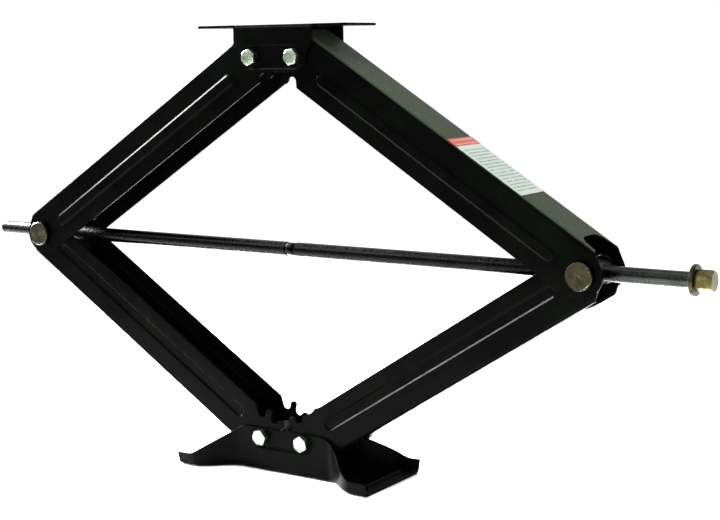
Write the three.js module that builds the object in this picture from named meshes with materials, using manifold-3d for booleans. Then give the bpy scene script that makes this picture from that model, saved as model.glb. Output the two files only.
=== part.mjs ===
// Scissor stabilizer jack: four pressed channel arms between a base pan and a top bracket,
// opened and closed by one long screw that runs through two trunnion nuts.
// Millimetres, +Z up. +X points along the screw to its drive hex, -Y is the bolt head side.
// Origin: centre of the base pan's underside.

import * as THREE from 'three';
import { mergeVertices } from 'three/addons/utils/BufferGeometryUtils.js';
import Module from 'manifold-3d';

const wasm = await Module();
wasm.setup();

// ---- driving dimensions -------------------------------------------------------------------

const ARM_LENGTH = 395;            // bolt pivot to trunnion axis
const REST_ANGLE = THREE.MathUtils.degToRad(32.3);
const PIVOT_HALF_SPACING = 28.3;   // also the pitch radius of the meshing arm ends
const BASE_PIVOT_HEIGHT = 39;
const TOP_PIVOT_DEPTH = 34.5;      // top face of the bracket down to its pivots

const WEB_OFFSET = 28;             // outer face of an arm's web, from the arm's pivot line
const SHEET = 2.5;                 // arm steel
const BEND_RADIUS = 4;             // outer radius of an arm's two long bends
const UPPER_HALF_WIDTH = 27.4;
const LOWER_HALF_WIDTH = 24.5;
const UPPER_FLANGE_EDGE = -27.5;   // free edge of the flanges, from the pivot line
const LOWER_FLANGE_EDGE = -25;
const UPPER_NOSE_RADIUS = 22.3;
const LOWER_NOSE_RADIUS = 20.5;

const GEAR_TEETH = 9;              // teeth on a full turn; only a few are cut
const GEAR_ROOT = 21.5;
const GEAR_TIP = 32.6;
const TOOTH_ROOT_HALF = 4.6;
const TOOTH_PITCH_HALF = 4.3;
const TOOTH_TIP_RADIUS = 3.5;
const TOOTH_PITCH_ANGLE = (2 * Math.PI) / GEAR_TEETH;
const LOWER_TOOTH_PHASE = THREE.MathUtils.degToRad(6.3); // the lower pair meets this far past a tooth

const BASE_LENGTH = 256;
const BASE_END_HALF_WIDTH = 58;
const BASE_WAIST_HALF_WIDTH = 27.9;
const BASE_SHEET = 3;
const BASE_EAR_HEIGHT = 49;
const BASE_LIP_HEIGHT = 15;
const BASE_FLARE_START = 60;       // the walls spread from the waist to the full width
const BASE_FLARE_END = 108;
const BASE_SLOPE_START = 57;       // and drop in a straight line from the ears to the low lips
const BASE_SLOPE_END = 108;
const BASE_RIB_X = 114;            // raised bars across the floor near both ends
const BASE_RIB_HALF_LENGTH = 38;
const BASE_RIB_HALF_WIDTH = 4.5;
const BASE_RIB_HEIGHT = 3.5;

const BRACKET_LENGTH = 200;
const BRACKET_HALF_WIDTH = 30.5;
const BRACKET_SHEET = 2.8;
const BRACKET_PLATE = 3;
const PLATE_SHIFT = -4;            // the plate sits a little off centre over its ears
const EAR_HALF_LENGTH = 52;
const EAR_SHOULDER = 13;           // the ear is full length above this height over its pivots
const LOBE_RADIUS = 16;

const BOLT_RADIUS = 5;
const BOLT_HOLE_RADIUS = 5.4;
const HEAD_ACROSS_FLATS = 16;
const HEAD_HEIGHT = 6.4;
const NUT_HEIGHT = 8;
const WASHER_RADIUS = 10;
const WASHER_THICKNESS = 2;
const SLEEVE_RADIUS = 8.5;
const SEAT_GAP = 0.3;

const TRUNNION_RADIUS = 14.3;
const TRUNNION_HOLE_RADIUS = 14.6;
const TRUNNION_HALF_LENGTH = 34;
const TRUNNION_CHAMFER = 1.2;

const SCREW_RADIUS = 8;
const SCREW_BORE_RADIUS = 8.4;
const SCREW_LEFT_END = -455.5;
const THRUST_WASHER_FACE = 464.6;
const THRUST_WASHER_RADIUS = 15.5;
const THRUST_WASHER_THICKNESS = 4;
const HEX_LENGTH = 16.7;
const HEX_ACROSS_FLATS = 19.05;
const HEX_BORE_DEPTH = 12;

const NOTCH_ROOT = ARM_LENGTH - 23; // the web's U-shaped notch starts here, at the trunnion end
const NOTCH_EDGE = 7;              // web left standing on each side of the notch
const NOTCH_RADIUS = 12;
const WEB_START = -10;             // the web and the flanges behind it begin past the bolt
const WEB_TAB_FOOT = 12;           // and join the hub above this height

const RIB_START = 44;              // ends of the rounded rib, before its half height
const RIB_END = ARM_LENGTH - 38;
const RIB_CENTRE = -3;
const RIB_HALF_HEIGHT = 6;
const UPPER_RIB_DEPTH = 1.2;       // pressed outwards
const LOWER_RIB_DEPTH = -1.4;      // pressed inwards

const PLATE_HOLE_RADIUS = 5.5;
const PLATE_HOLE_X = 80;
const PLATE_HOLE_Y = 14;

const LABEL_START = 201;
const LABEL_LENGTH = 99;
const LABEL_HALF_WIDTH = 24;
const LABEL_THICKNESS = 0.4;

// ---- derived places -----------------------------------------------------------------------

const ARM_REACH = ARM_LENGTH * Math.cos(REST_ANGLE);
const ARM_RISE = ARM_LENGTH * Math.sin(REST_ANGLE);
const TRUNNION_X = PIVOT_HALF_SPACING + ARM_REACH;
const SCREW_HEIGHT = BASE_PIVOT_HEIGHT + ARM_RISE;
const TOP_PIVOT_HEIGHT = SCREW_HEIGHT + ARM_RISE;

// ---- finishes -----------------------------------------------------------------------------

const finish = (color, roughness, metalness) => new THREE.MeshStandardMaterial({ color, roughness, metalness });
const blackEnamel = finish(0x121413, 0.3, 0.2);
const brightZinc = finish(0xcfd3c8, 0.35, 0.9);
const yellowZinc = finish(0xb3985c, 0.35, 0.9);
const oiledSteel = finish(0x34332f, 0.4, 0.9);
const greySteel = finish(0x6f716d, 0.5, 0.8);
const paper = finish(0xe4e8dc, 0.6, 0);

// ---- solids: three.js geometry in, joined or cut, three.js geometry out ---------------------

function toSolid(geometry) {
  const bare = geometry.index ? geometry.toNonIndexed() : geometry.clone();
  bare.deleteAttribute('normal');
  bare.deleteAttribute('uv');
  const merged = mergeVertices(bare, 1e-4);
  const vertProperties = new Float32Array(merged.attributes.position.array);
  const triVerts = new Uint32Array(merged.index.array);
  return new wasm.Manifold(new wasm.Mesh({ numProp: 3, vertProperties, triVerts }));
}

function toGeometry(solid) {
  const mesh = solid.getMesh();
  const geometry = new THREE.BufferGeometry();
  geometry.setAttribute('position', new THREE.BufferAttribute(new Float32Array(mesh.vertProperties), 3));
  geometry.setIndex(new THREE.BufferAttribute(new Uint32Array(mesh.triVerts), 1));
  geometry.computeVertexNormals();
  return geometry;
}

function join(first, ...others) {
  return others.reduce((sum, other) => sum.add(other), first);
}

function cut(body, ...tools) {
  return tools.reduce((rest, tool) => rest.subtract(tool), body);
}

function named(name, geometry, material) {
  const mesh = new THREE.Mesh(geometry, material);
  mesh.name = name;
  return mesh;
}

// ---- basic forms --------------------------------------------------------------------------

// An outline drawn in X and Z, given thickness along Y from yLow to yHigh.
function plateAcrossY(shape, yLow, yHigh, curveSegments = 12) {
  const geometry = new THREE.ExtrudeGeometry(shape, { depth: yHigh - yLow, bevelEnabled: false, curveSegments });
  geometry.rotateX(Math.PI / 2);
  geometry.translate(0, yHigh, 0);
  return geometry;
}

// An outline drawn in X and Y, given thickness along Z from zLow to zHigh.
function plateAcrossZ(shape, zLow, zHigh, curveSegments = 12) {
  const geometry = new THREE.ExtrudeGeometry(shape, { depth: zHigh - zLow, bevelEnabled: false, curveSegments });
  geometry.translate(0, 0, zLow);
  return geometry;
}

// A turned piece: profile is a list of [radius, distance along the axis].
function turned(profile, segments, axis) {
  const geometry = new THREE.LatheGeometry(profile.map(([r, h]) => new THREE.Vector2(r, h)), segments);
  if (axis === 'x') geometry.rotateZ(-Math.PI / 2);
  if (axis === 'z') geometry.rotateX(Math.PI / 2);
  return geometry;
}

function rodProfile(radius, low, high, chamfer = 0) {
  if (chamfer === 0) return [[0, low], [radius, low], [radius, high], [0, high]];
  const lowEnd = [[0, low], [radius - chamfer, low], [radius, low + chamfer]];
  const highEnd = [[radius, high - chamfer], [radius - chamfer, high], [0, high]];
  return [...lowEnd, ...highEnd];
}

function tubeProfile(inner, outer, low, high) {
  return [[inner, low], [outer, low], [outer, high], [inner, high], [inner, low]];
}

function drill(radius, halfLength, axis, x, z, segments = 20) {
  return toSolid(turned(rodProfile(radius, -halfLength, halfLength), segments, axis).translate(x, 0, z));
}

// A hexagonal prism along Y or X with a pair of corners up and down.
function hexPrism(acrossFlats, low, high, axis) {
  const corner = acrossFlats / Math.sqrt(3);
  const geometry = new THREE.CylinderGeometry(corner, corner, high - low, 6);
  geometry.translate(0, (low + high) / 2, 0);
  if (axis === 'x') geometry.rotateZ(-Math.PI / 2).rotateX(Math.PI / 2);
  return geometry;
}

function roundedRectangle(halfX, halfY, radius) {
  const shape = new THREE.Shape();
  shape.moveTo(-halfX + radius, -halfY);
  shape.lineTo(halfX - radius, -halfY);
  shape.absarc(halfX - radius, -halfY + radius, radius, -Math.PI / 2, 0);
  shape.lineTo(halfX, halfY - radius);
  shape.absarc(halfX - radius, halfY - radius, radius, 0, Math.PI / 2);
  shape.lineTo(-halfX + radius, halfY);
  shape.absarc(-halfX + radius, halfY - radius, radius, Math.PI / 2, Math.PI);
  shape.lineTo(-halfX, -halfY + radius);
  shape.absarc(-halfX + radius, -halfY + radius, radius, Math.PI, Math.PI * 1.5);
  return shape;
}

// ---- arms ---------------------------------------------------------------------------------
// An arm is drawn along X from its bolt pivot at the origin to its trunnion at ARM_LENGTH,
// with its web on the +Z side and the channel open towards -Z.

// Side outline of the flanges: straight web side, round nose at the trunnion, free edge below.
function armOutline(flangeEdge, noseRadius) {
  const shape = new THREE.Shape();
  const noseTop = THREE.MathUtils.degToRad(48);
  const noseBottom = THREE.MathUtils.degToRad(-55);
  shape.moveTo(0, flangeEdge);
  shape.lineTo(0, WEB_TAB_FOOT);
  shape.lineTo(WEB_START, WEB_TAB_FOOT);
  shape.lineTo(WEB_START, WEB_OFFSET);
  shape.lineTo(ARM_LENGTH - 2.5, WEB_OFFSET);
  shape.absarc(ARM_LENGTH, 0, noseRadius, noseTop, noseBottom, true);
  shape.lineTo(ARM_LENGTH - 3, flangeEdge);
  return shape;
}

// Cross-section of the channel in Y and Z: two flanges and a web with rounded outer bends.
function channelSection(halfWidth, flangeEdge) {
  const inner = halfWidth - SHEET;
  const innerBend = BEND_RADIUS - SHEET;
  const shape = new THREE.Shape();
  shape.moveTo(-halfWidth, flangeEdge - 10);
  shape.lineTo(-inner, flangeEdge - 10);
  shape.lineTo(-inner, WEB_OFFSET - BEND_RADIUS);
  shape.absarc(-inner + innerBend, WEB_OFFSET - BEND_RADIUS, innerBend, Math.PI, Math.PI / 2, true);
  shape.lineTo(inner - innerBend, WEB_OFFSET - SHEET);
  shape.absarc(inner - innerBend, WEB_OFFSET - BEND_RADIUS, innerBend, Math.PI / 2, 0, true);
  shape.lineTo(inner, flangeEdge - 10);
  shape.lineTo(halfWidth, flangeEdge - 10);
  shape.lineTo(halfWidth, WEB_OFFSET - BEND_RADIUS);
  shape.absarc(halfWidth - BEND_RADIUS, WEB_OFFSET - BEND_RADIUS, BEND_RADIUS, 0, Math.PI / 2);
  shape.lineTo(-halfWidth + BEND_RADIUS, WEB_OFFSET);
  shape.absarc(-halfWidth + BEND_RADIUS, WEB_OFFSET - BEND_RADIUS, BEND_RADIUS, Math.PI / 2, Math.PI);
  return shape;
}

function channel(halfWidth, flangeEdge) {
  const shape = channelSection(halfWidth, flangeEdge);
  const length = ARM_LENGTH + 80;
  const geometry = new THREE.ExtrudeGeometry(shape, { depth: length, bevelEnabled: false, curveSegments: 2 });
  geometry.applyMatrix4(new THREE.Matrix4().makeBasis(
    new THREE.Vector3(0, 1, 0), new THREE.Vector3(0, 0, 1), new THREE.Vector3(1, 0, 0)));
  geometry.translate(-40, 0, 0);
  return geometry;
}

// One gear tooth as an outline about the pivot, pointing along the given angle.
function toothOutline(angle) {
  const shape = new THREE.Shape();
  const tipCentre = GEAR_TIP - TOOTH_TIP_RADIUS;
  const taper = (TOOTH_PITCH_HALF - TOOTH_ROOT_HALF) / (PIVOT_HALF_SPACING - GEAR_ROOT);
  const tipHalf = TOOTH_ROOT_HALF + taper * (tipCentre - GEAR_ROOT);
  const at = (radial, across) => new THREE.Vector2(radial, across).rotateAround(new THREE.Vector2(), angle);
  const points = [at(GEAR_ROOT - 8, -TOOTH_ROOT_HALF)];
  for (let step = 0; step <= 4; step += 1) {
    const turn = -Math.PI / 2 + (Math.PI * step) / 4;
    points.push(at(tipCentre + TOOTH_TIP_RADIUS * Math.cos(turn), tipHalf * Math.sin(turn)));
  }
  points.push(at(GEAR_ROOT - 8, TOOTH_ROOT_HALF));
  shape.setFromPoints(points);
  return shape;
}

// The slot between two teeth, cut through the corner of the flange.
function toothSlotOutline(angle) {
  const halfWidth = PIVOT_HALF_SPACING * Math.sin(Math.PI / GEAR_TEETH) - TOOTH_PITCH_HALF;
  const at = (radial, across) => new THREE.Vector2(radial, across).rotateAround(new THREE.Vector2(), angle);
  const points = [at(GEAR_TIP + 14, halfWidth + 1), at(GEAR_ROOT + halfWidth, halfWidth)];
  for (let step = 1; step < 4; step += 1) {
    const turn = Math.PI / 2 + (Math.PI * step) / 4;
    points.push(at(GEAR_ROOT + halfWidth + halfWidth * Math.cos(turn), halfWidth * Math.sin(turn)));
  }
  points.push(at(GEAR_ROOT + halfWidth, -halfWidth), at(GEAR_TIP + 14, -halfWidth - 1));
  const shape = new THREE.Shape();
  shape.setFromPoints(points);
  return shape;
}

// A long pressed rib in the flange, as an outline in X and Z.
function ribOutline(halfHeight) {
  const shape = new THREE.Shape();
  shape.absarc(RIB_START, RIB_CENTRE, halfHeight, Math.PI / 2, Math.PI * 1.5);
  shape.absarc(RIB_END, RIB_CENTRE, halfHeight, -Math.PI / 2, Math.PI / 2);
  return shape;
}

// Each flange's rib is pressed by depth: outwards where depth is positive, inwards where negative.
function pressRibs(body, halfWidth, depth) {
  let result = body;
  for (const side of [-1, 1]) {
    const outer = side * halfWidth;
    const inner = side * (halfWidth - SHEET);
    const slab = (half, from, to) => toSolid(
      plateAcrossY(ribOutline(half), Math.min(from, to), Math.max(from, to), 3));
    if (depth > 0) {
      result = join(result, slab(RIB_HALF_HEIGHT, inner + side * 0.5, outer + side * depth));
      result = cut(result, slab(RIB_HALF_HEIGHT - SHEET, inner - side, inner + side * depth));
    } else {
      result = join(result, slab(RIB_HALF_HEIGHT, outer - side * 0.5, inner + side * depth));
      result = cut(result, slab(RIB_HALF_HEIGHT - SHEET, outer + side, outer + side * depth));
    }
  }
  return result;
}

function arm({ halfWidth, flangeEdge, noseRadius, ribDepth, toothTurn }) {
  const reach = halfWidth + 5;
  const firstTooth = Math.PI + REST_ANGLE + toothTurn;

  const outline = toSolid(plateAcrossY(armOutline(flangeEdge, noseRadius), -reach, reach, 8));
  const hub = drill(GEAR_ROOT, reach, 'y', 0, 0, 24);
  const teeth = [0, 1, 2].map((k) => toSolid(
    plateAcrossY(toothOutline(firstTooth + k * TOOTH_PITCH_ANGLE), -reach, reach)));
  const slots = [0.5, 1.5, 2.5].map((k) => toSolid(
    plateAcrossY(toothSlotOutline(firstTooth + k * TOOTH_PITCH_ANGLE), -reach - 1, reach + 1)));
  const side = join(cut(outline, ...slots), hub, ...teeth);

  let body = toSolid(channel(halfWidth, flangeEdge)).intersect(side);

  // The web ends in a U-shaped notch that lets the screw through.
  const webBottom = WEB_OFFSET - BEND_RADIUS;
  const notch = new THREE.Shape();
  const notchHalf = halfWidth - NOTCH_EDGE;
  const notchEnd = ARM_LENGTH + 40;
  notch.moveTo(notchEnd, -notchHalf - 4);
  notch.lineTo(notchEnd, notchHalf + 4);
  notch.absarc(NOTCH_ROOT + NOTCH_RADIUS, notchHalf - NOTCH_RADIUS, NOTCH_RADIUS, Math.PI / 2, Math.PI);
  notch.absarc(NOTCH_ROOT + NOTCH_RADIUS, -notchHalf + NOTCH_RADIUS, NOTCH_RADIUS, Math.PI, Math.PI * 1.5);
  body = cut(body, toSolid(plateAcrossZ(notch, webBottom + 0.5, WEB_OFFSET + 5, 4)));

  body = pressRibs(body, halfWidth, ribDepth);
  return cut(
    body,
    drill(BOLT_HOLE_RADIUS, reach, 'y', 0, 0, 20),
    drill(TRUNNION_HOLE_RADIUS, reach, 'y', ARM_LENGTH, 0, 36),
  );
}

// Turns an arm from its drawing place into the jack. mirrorX: left side, flip: lower arm.
function placeArm(mesh, { mirrorX, flip }) {
  const turn = new THREE.Group();
  const lean = new THREE.Group();
  turn.add(mesh);
  lean.add(turn);
  if (mirrorX) turn.rotation.z = Math.PI;
  if (flip) turn.rotation.x = Math.PI;
  const right = mirrorX ? -1 : 1;
  const up = flip ? -1 : 1;
  lean.rotation.y = right * up * REST_ANGLE;
  lean.position.set(right * PIVOT_HALF_SPACING, 0, flip ? BASE_PIVOT_HEIGHT : TOP_PIVOT_HEIGHT);
  return lean;
}

function arms() {
  const upper = {
    halfWidth: UPPER_HALF_WIDTH,
    flangeEdge: UPPER_FLANGE_EDGE,
    noseRadius: UPPER_NOSE_RADIUS,
    ribDepth: UPPER_RIB_DEPTH,
  };
  const lower = {
    halfWidth: LOWER_HALF_WIDTH,
    flangeEdge: LOWER_FLANGE_EDGE,
    noseRadius: LOWER_NOSE_RADIUS,
    ribDepth: LOWER_RIB_DEPTH,
  };
  const build = (name, form, toothTurn, where) => placeArm(
    named(name, toGeometry(arm({ ...form, toothTurn })), blackEnamel), where);
  // toothTurn: first tooth, past the line between the two pivots. Facing arms differ by half a pitch.
  const onTooth = -TOOTH_PITCH_ANGLE;
  const onSlot = -TOOTH_PITCH_ANGLE / 2;
  return [
    build('upper_left_arm', upper, onTooth, { mirrorX: true, flip: false }),
    build('upper_right_arm', upper, onSlot, { mirrorX: false, flip: false }),
    build('lower_left_arm', lower, -LOWER_TOOTH_PHASE, { mirrorX: true, flip: true }),
    build('lower_right_arm', lower, onSlot - LOWER_TOOTH_PHASE, { mirrorX: false, flip: true }),
  ];
}

// ---- base pan -----------------------------------------------------------------------------

function baseHalfWidth(x) {
  const spread = BASE_END_HALF_WIDTH - BASE_WAIST_HALF_WIDTH;
  return BASE_WAIST_HALF_WIDTH + spread * THREE.MathUtils.smoothstep(Math.abs(x), BASE_FLARE_START, BASE_FLARE_END);
}

function baseWallHeight(x) {
  const drop = BASE_EAR_HEIGHT - BASE_LIP_HEIGHT;
  const along = (Math.abs(x) - BASE_SLOPE_START) / (BASE_SLOPE_END - BASE_SLOPE_START);
  return BASE_EAR_HEIGHT - drop * THREE.MathUtils.clamp(along, 0, 1);
}

// A channel section that changes along X, closed at both ends.
function loftedPan(stations) {
  const rings = stations.map((x) => {
    const w = baseHalfWidth(x);
    const h = baseWallHeight(x);
    const t = BASE_SHEET;
    return [[-w, 0], [w, 0], [w, h], [w - t, h], [w - t, t], [-w + t, t], [-w + t, h], [-w, h]]
      .map(([y, z]) => [x, y, z]);
  });
  const positions = rings.flat(2);
  const size = rings[0].length;
  const index = [];
  for (let ring = 0; ring + 1 < rings.length; ring += 1) {
    for (let k = 0; k < size; k += 1) {
      const a = ring * size + k;
      const b = ring * size + ((k + 1) % size);
      index.push(a, b, a + size, b, b + size, a + size);
    }
  }
  const cap = [[0, 1, 4], [0, 4, 5], [1, 2, 3], [1, 3, 4], [0, 5, 6], [0, 6, 7]];
  const last = (rings.length - 1) * size;
  for (const [a, b, c] of cap) {
    index.push(a, c, b, last + a, last + b, last + c);
  }
  const geometry = new THREE.BufferGeometry();
  geometry.setAttribute('position', new THREE.Float32BufferAttribute(positions, 3));
  geometry.setIndex(index);
  return geometry;
}

function basePan() {
  const stationCount = 24;
  const stations = [];
  for (let k = 0; k <= stationCount; k += 1) {
    stations.push(-BASE_LENGTH / 2 + (BASE_LENGTH * k) / stationCount);
  }
  let body = toSolid(loftedPan(stations));
  for (const side of [-1, 1]) {
    const bar = plateAcrossZ(
      roundedRectangle(BASE_RIB_HALF_WIDTH, BASE_RIB_HALF_LENGTH, BASE_RIB_HALF_WIDTH - 0.5),
      1, BASE_SHEET + BASE_RIB_HEIGHT, 3);
    body = join(body, toSolid(bar.translate(side * BASE_RIB_X, 0, 0)));
    body = cut(body, drill(BOLT_HOLE_RADIUS, 40, 'y', side * PIVOT_HALF_SPACING, BASE_PIVOT_HEIGHT));
  }
  return named('base_pan', toGeometry(body), blackEnamel);
}

// ---- top bracket --------------------------------------------------------------------------

function earOutline() {
  const shoulder = TOP_PIVOT_HEIGHT + EAR_SHOULDER;
  const plateFace = TOP_PIVOT_HEIGHT + TOP_PIVOT_DEPTH - 1;
  const shape = new THREE.Shape();
  shape.moveTo(-EAR_HALF_LENGTH, plateFace);
  shape.lineTo(-EAR_HALF_LENGTH, shoulder);
  shape.lineTo(-PIVOT_HALF_SPACING - LOBE_RADIUS + 0.6, shoulder - 9);
  shape.absarc(-PIVOT_HALF_SPACING, TOP_PIVOT_HEIGHT, LOBE_RADIUS, Math.PI * 0.95, Math.PI * 1.5);
  shape.absarc(PIVOT_HALF_SPACING, TOP_PIVOT_HEIGHT, LOBE_RADIUS, Math.PI * 1.5, Math.PI * 2.05);
  shape.lineTo(EAR_HALF_LENGTH, shoulder);
  shape.lineTo(EAR_HALF_LENGTH, plateFace);
  return shape;
}

function topBracket() {
  const top = TOP_PIVOT_HEIGHT + TOP_PIVOT_DEPTH;
  const plate = plateAcrossZ(
    roundedRectangle(BRACKET_LENGTH / 2, BRACKET_HALF_WIDTH, 5), top - BRACKET_PLATE, top, 3);
  let body = toSolid(plate.translate(PLATE_SHIFT, 0, 0));
  for (const side of [-1, 1]) {
    const outer = side * BRACKET_HALF_WIDTH;
    const inner = side * (BRACKET_HALF_WIDTH - BRACKET_SHEET);
    body = join(body, toSolid(plateAcrossY(earOutline(), Math.min(outer, inner), Math.max(outer, inner), 6)));
  }
  for (const side of [-1, 1]) {
    body = cut(body, drill(BOLT_HOLE_RADIUS, 40, 'y', side * PIVOT_HALF_SPACING, TOP_PIVOT_HEIGHT));
    for (const row of [-1, 1]) {
      const hole = turned(rodProfile(PLATE_HOLE_RADIUS, top - 10, top + 10), 16, 'z');
      body = cut(body, toSolid(hole.translate(PLATE_SHIFT + side * PLATE_HOLE_X, row * PLATE_HOLE_Y, 0)));
    }
  }
  return named('top_bracket', toGeometry(body), blackEnamel);
}

// ---- pivot bolts, nuts, washers and spacer sleeves ------------------------------------------

// One bolted pivot along Y. earHalf: outer face of the ears, sleeveHalf: half the sleeve's length.
function pivotHardware(name, x, z, earHalf, sleeveHalf) {
  const headSeat = -earHalf - SEAT_GAP;
  const washerFace = earHalf + SEAT_GAP;
  const nutFace = washerFace + WASHER_THICKNESS + SEAT_GAP;
  const shankEnd = nutFace + NUT_HEIGHT + 3;

  const bolt = join(
    toSolid(hexPrism(HEAD_ACROSS_FLATS, headSeat - HEAD_HEIGHT, headSeat)),
    toSolid(turned(rodProfile(BOLT_RADIUS, headSeat - 1, shankEnd, 0.8), 20)),
  );
  const washer = turned(
    tubeProfile(BOLT_HOLE_RADIUS, WASHER_RADIUS, washerFace, washerFace + WASHER_THICKNESS), 20);
  const nut = cut(
    toSolid(hexPrism(HEAD_ACROSS_FLATS, nutFace, nutFace + NUT_HEIGHT)),
    drill(BOLT_RADIUS + 0.3, nutFace + NUT_HEIGHT + 5, 'y', 0, 0, 20),
  );
  const sleeve = turned(tubeProfile(BOLT_HOLE_RADIUS, SLEEVE_RADIUS, -sleeveHalf, sleeveHalf), 20);

  const group = new THREE.Group();
  group.add(named(`${name}_pivot_bolt`, toGeometry(bolt), brightZinc));
  group.add(named(`${name}_bolt_washer`, washer, brightZinc));
  group.add(named(`${name}_lock_nut`, toGeometry(nut), brightZinc));
  group.add(named(`${name}_spacer_sleeve`, sleeve, greySteel));
  group.position.set(x, 0, z);
  return group;
}

function allPivotHardware() {
  const lowerSleeve = LOWER_HALF_WIDTH - SHEET - SEAT_GAP;
  const upperSleeve = UPPER_HALF_WIDTH - SHEET - SEAT_GAP;
  return [-1, 1].flatMap((side) => {
    const hand = side < 0 ? 'left' : 'right';
    const x = side * PIVOT_HALF_SPACING;
    return [
      pivotHardware(`base_${hand}`, x, BASE_PIVOT_HEIGHT, BASE_WAIST_HALF_WIDTH, lowerSleeve),
      pivotHardware(`top_${hand}`, x, TOP_PIVOT_HEIGHT, BRACKET_HALF_WIDTH, upperSleeve),
    ];
  });
}

// ---- trunnions, screw and drive end ---------------------------------------------------------

function trunnion(name, x) {
  const bar = toSolid(turned(
    rodProfile(TRUNNION_RADIUS, -TRUNNION_HALF_LENGTH, TRUNNION_HALF_LENGTH, TRUNNION_CHAMFER), 36));
  const body = cut(bar, drill(SCREW_BORE_RADIUS, 30, 'x', 0, 0, 24));
  const mesh = named(name, toGeometry(body), yellowZinc);
  mesh.position.set(x, 0, SCREW_HEIGHT);
  return mesh;
}

function screwAndDrive() {
  const washerBack = THRUST_WASHER_FACE + THRUST_WASHER_THICKNESS;
  const hexStart = washerBack + SEAT_GAP;
  const hexEnd = hexStart + HEX_LENGTH;
  const boreEnd = hexStart + HEX_BORE_DEPTH;
  const hexCorner = HEX_ACROSS_FLATS / Math.sqrt(3);

  const rod = turned(rodProfile(SCREW_RADIUS, SCREW_LEFT_END, boreEnd - SEAT_GAP, 1.5), 24, 'x');
  const washer = turned(tubeProfile(
    SCREW_BORE_RADIUS, THRUST_WASHER_RADIUS, THRUST_WASHER_FACE, washerBack), 32, 'x');

  // A cone over the end of the hex takes its six corners off.
  const chamfered = turned([
    [0, hexStart - 1], [hexCorner + 1, hexStart - 1], [hexCorner + 1, hexEnd - 2.4],
    [HEX_ACROSS_FLATS / 2 - 0.6, hexEnd], [0, hexEnd],
  ], 36, 'x');
  const bore = turned(rodProfile(SCREW_RADIUS + SEAT_GAP, hexStart - 5, boreEnd), 24, 'x');
  const hex = cut(
    toSolid(hexPrism(HEX_ACROSS_FLATS, hexStart, hexEnd, 'x')).intersect(toSolid(chamfered)),
    toSolid(bore),
  );

  const group = new THREE.Group();
  group.add(named('drive_screw', rod, oiledSteel));
  group.add(named('thrust_washer', washer, yellowZinc));
  group.add(named('drive_hex', toGeometry(hex), yellowZinc));
  group.position.z = SCREW_HEIGHT;
  return group;
}

// ---- label on the upper right arm -----------------------------------------------------------

function warningLabel() {
  const slab = new THREE.BoxGeometry(LABEL_LENGTH, 2 * LABEL_HALF_WIDTH, LABEL_THICKNESS);
  slab.translate(LABEL_START + LABEL_LENGTH / 2, 0, WEB_OFFSET + SEAT_GAP + LABEL_THICKNESS / 2);
  return placeArm(named('warning_label', slab, paper), { mirrorX: false, flip: false });
}

// ---- the jack -----------------------------------------------------------------------------

const jack = new THREE.Group();
jack.add(basePan());
jack.add(topBracket());
jack.add(...arms());
jack.add(...allPivotHardware());
jack.add(trunnion('left_trunnion', -TRUNNION_X));
jack.add(trunnion('right_trunnion', TRUNNION_X));
jack.add(screwAndDrive());
jack.add(warningLabel());

export default jack;
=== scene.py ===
"""Scissor stabilizer jack: its pressed, plated and threaded surfaces, built on the fixed frame.

Lengths are in millimetres until a mesh is made. +Z is up, +X runs along the screw to its drive
hex, and the bolt heads are on the -Y side.
"""

import logging
import math
from collections.abc import Callable, Sequence
from dataclasses import dataclass, field
from enum import Enum
from typing import Any

import bmesh
import bpy
import numpy as np
from mathutils import Matrix, Vector
from mathutils.geometry import delaunay_2d_cdt


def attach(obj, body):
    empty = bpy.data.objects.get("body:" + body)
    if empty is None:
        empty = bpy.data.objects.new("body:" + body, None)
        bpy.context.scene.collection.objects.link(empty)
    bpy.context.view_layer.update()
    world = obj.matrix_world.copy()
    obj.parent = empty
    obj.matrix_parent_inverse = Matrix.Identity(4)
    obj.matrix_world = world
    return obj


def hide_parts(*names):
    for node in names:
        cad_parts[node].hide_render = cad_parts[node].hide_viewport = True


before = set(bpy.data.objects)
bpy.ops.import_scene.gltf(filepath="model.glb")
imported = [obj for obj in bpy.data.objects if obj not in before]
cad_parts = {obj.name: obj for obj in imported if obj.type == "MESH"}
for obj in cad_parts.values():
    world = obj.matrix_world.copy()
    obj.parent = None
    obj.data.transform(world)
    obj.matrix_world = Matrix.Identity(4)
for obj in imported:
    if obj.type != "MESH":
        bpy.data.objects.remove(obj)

LOG = logging.getLogger("scissor_jack")
MM = 0.001

Point2 = tuple[float, float]
Profile = list[Point2]

ARM_LENGTH = 395.0
REST_ANGLE = math.radians(32.3)
PIVOT_HALF_SPACING = 28.3
BASE_PIVOT_HEIGHT = 39.0
SCREW_HEIGHT = BASE_PIVOT_HEIGHT + ARM_LENGTH * math.sin(REST_ANGLE)
TOP_PIVOT_HEIGHT = SCREW_HEIGHT + ARM_LENGTH * math.sin(REST_ANGLE)
TOP_FACE_HEIGHT = TOP_PIVOT_HEIGHT + 34.5
TRUNNION_X = PIVOT_HALF_SPACING + ARM_LENGTH * math.cos(REST_ANGLE)
BASE_EAR_HALF = 27.9
BRACKET_EAR_HALF = 30.5
EAR_RECESS = 1.0
BOLT_HOLE_RADIUS = 5.4
TRUNNION_HOLE_RADIUS = 14.6
SHARP_DEGREES = 32.0
TWO_COLOURS = {"data_type": "RGBA"}


class Side(Enum):
    """Left is -X, right is +X, where the drive hex is."""

    LEFT = -1
    RIGHT = 1


class Level(Enum):
    """Upper arms hang from the bracket, lower arms stand on the base."""

    UPPER = 1
    LOWER = -1


# ---- small tools --------------------------------------------------------------------------


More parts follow.
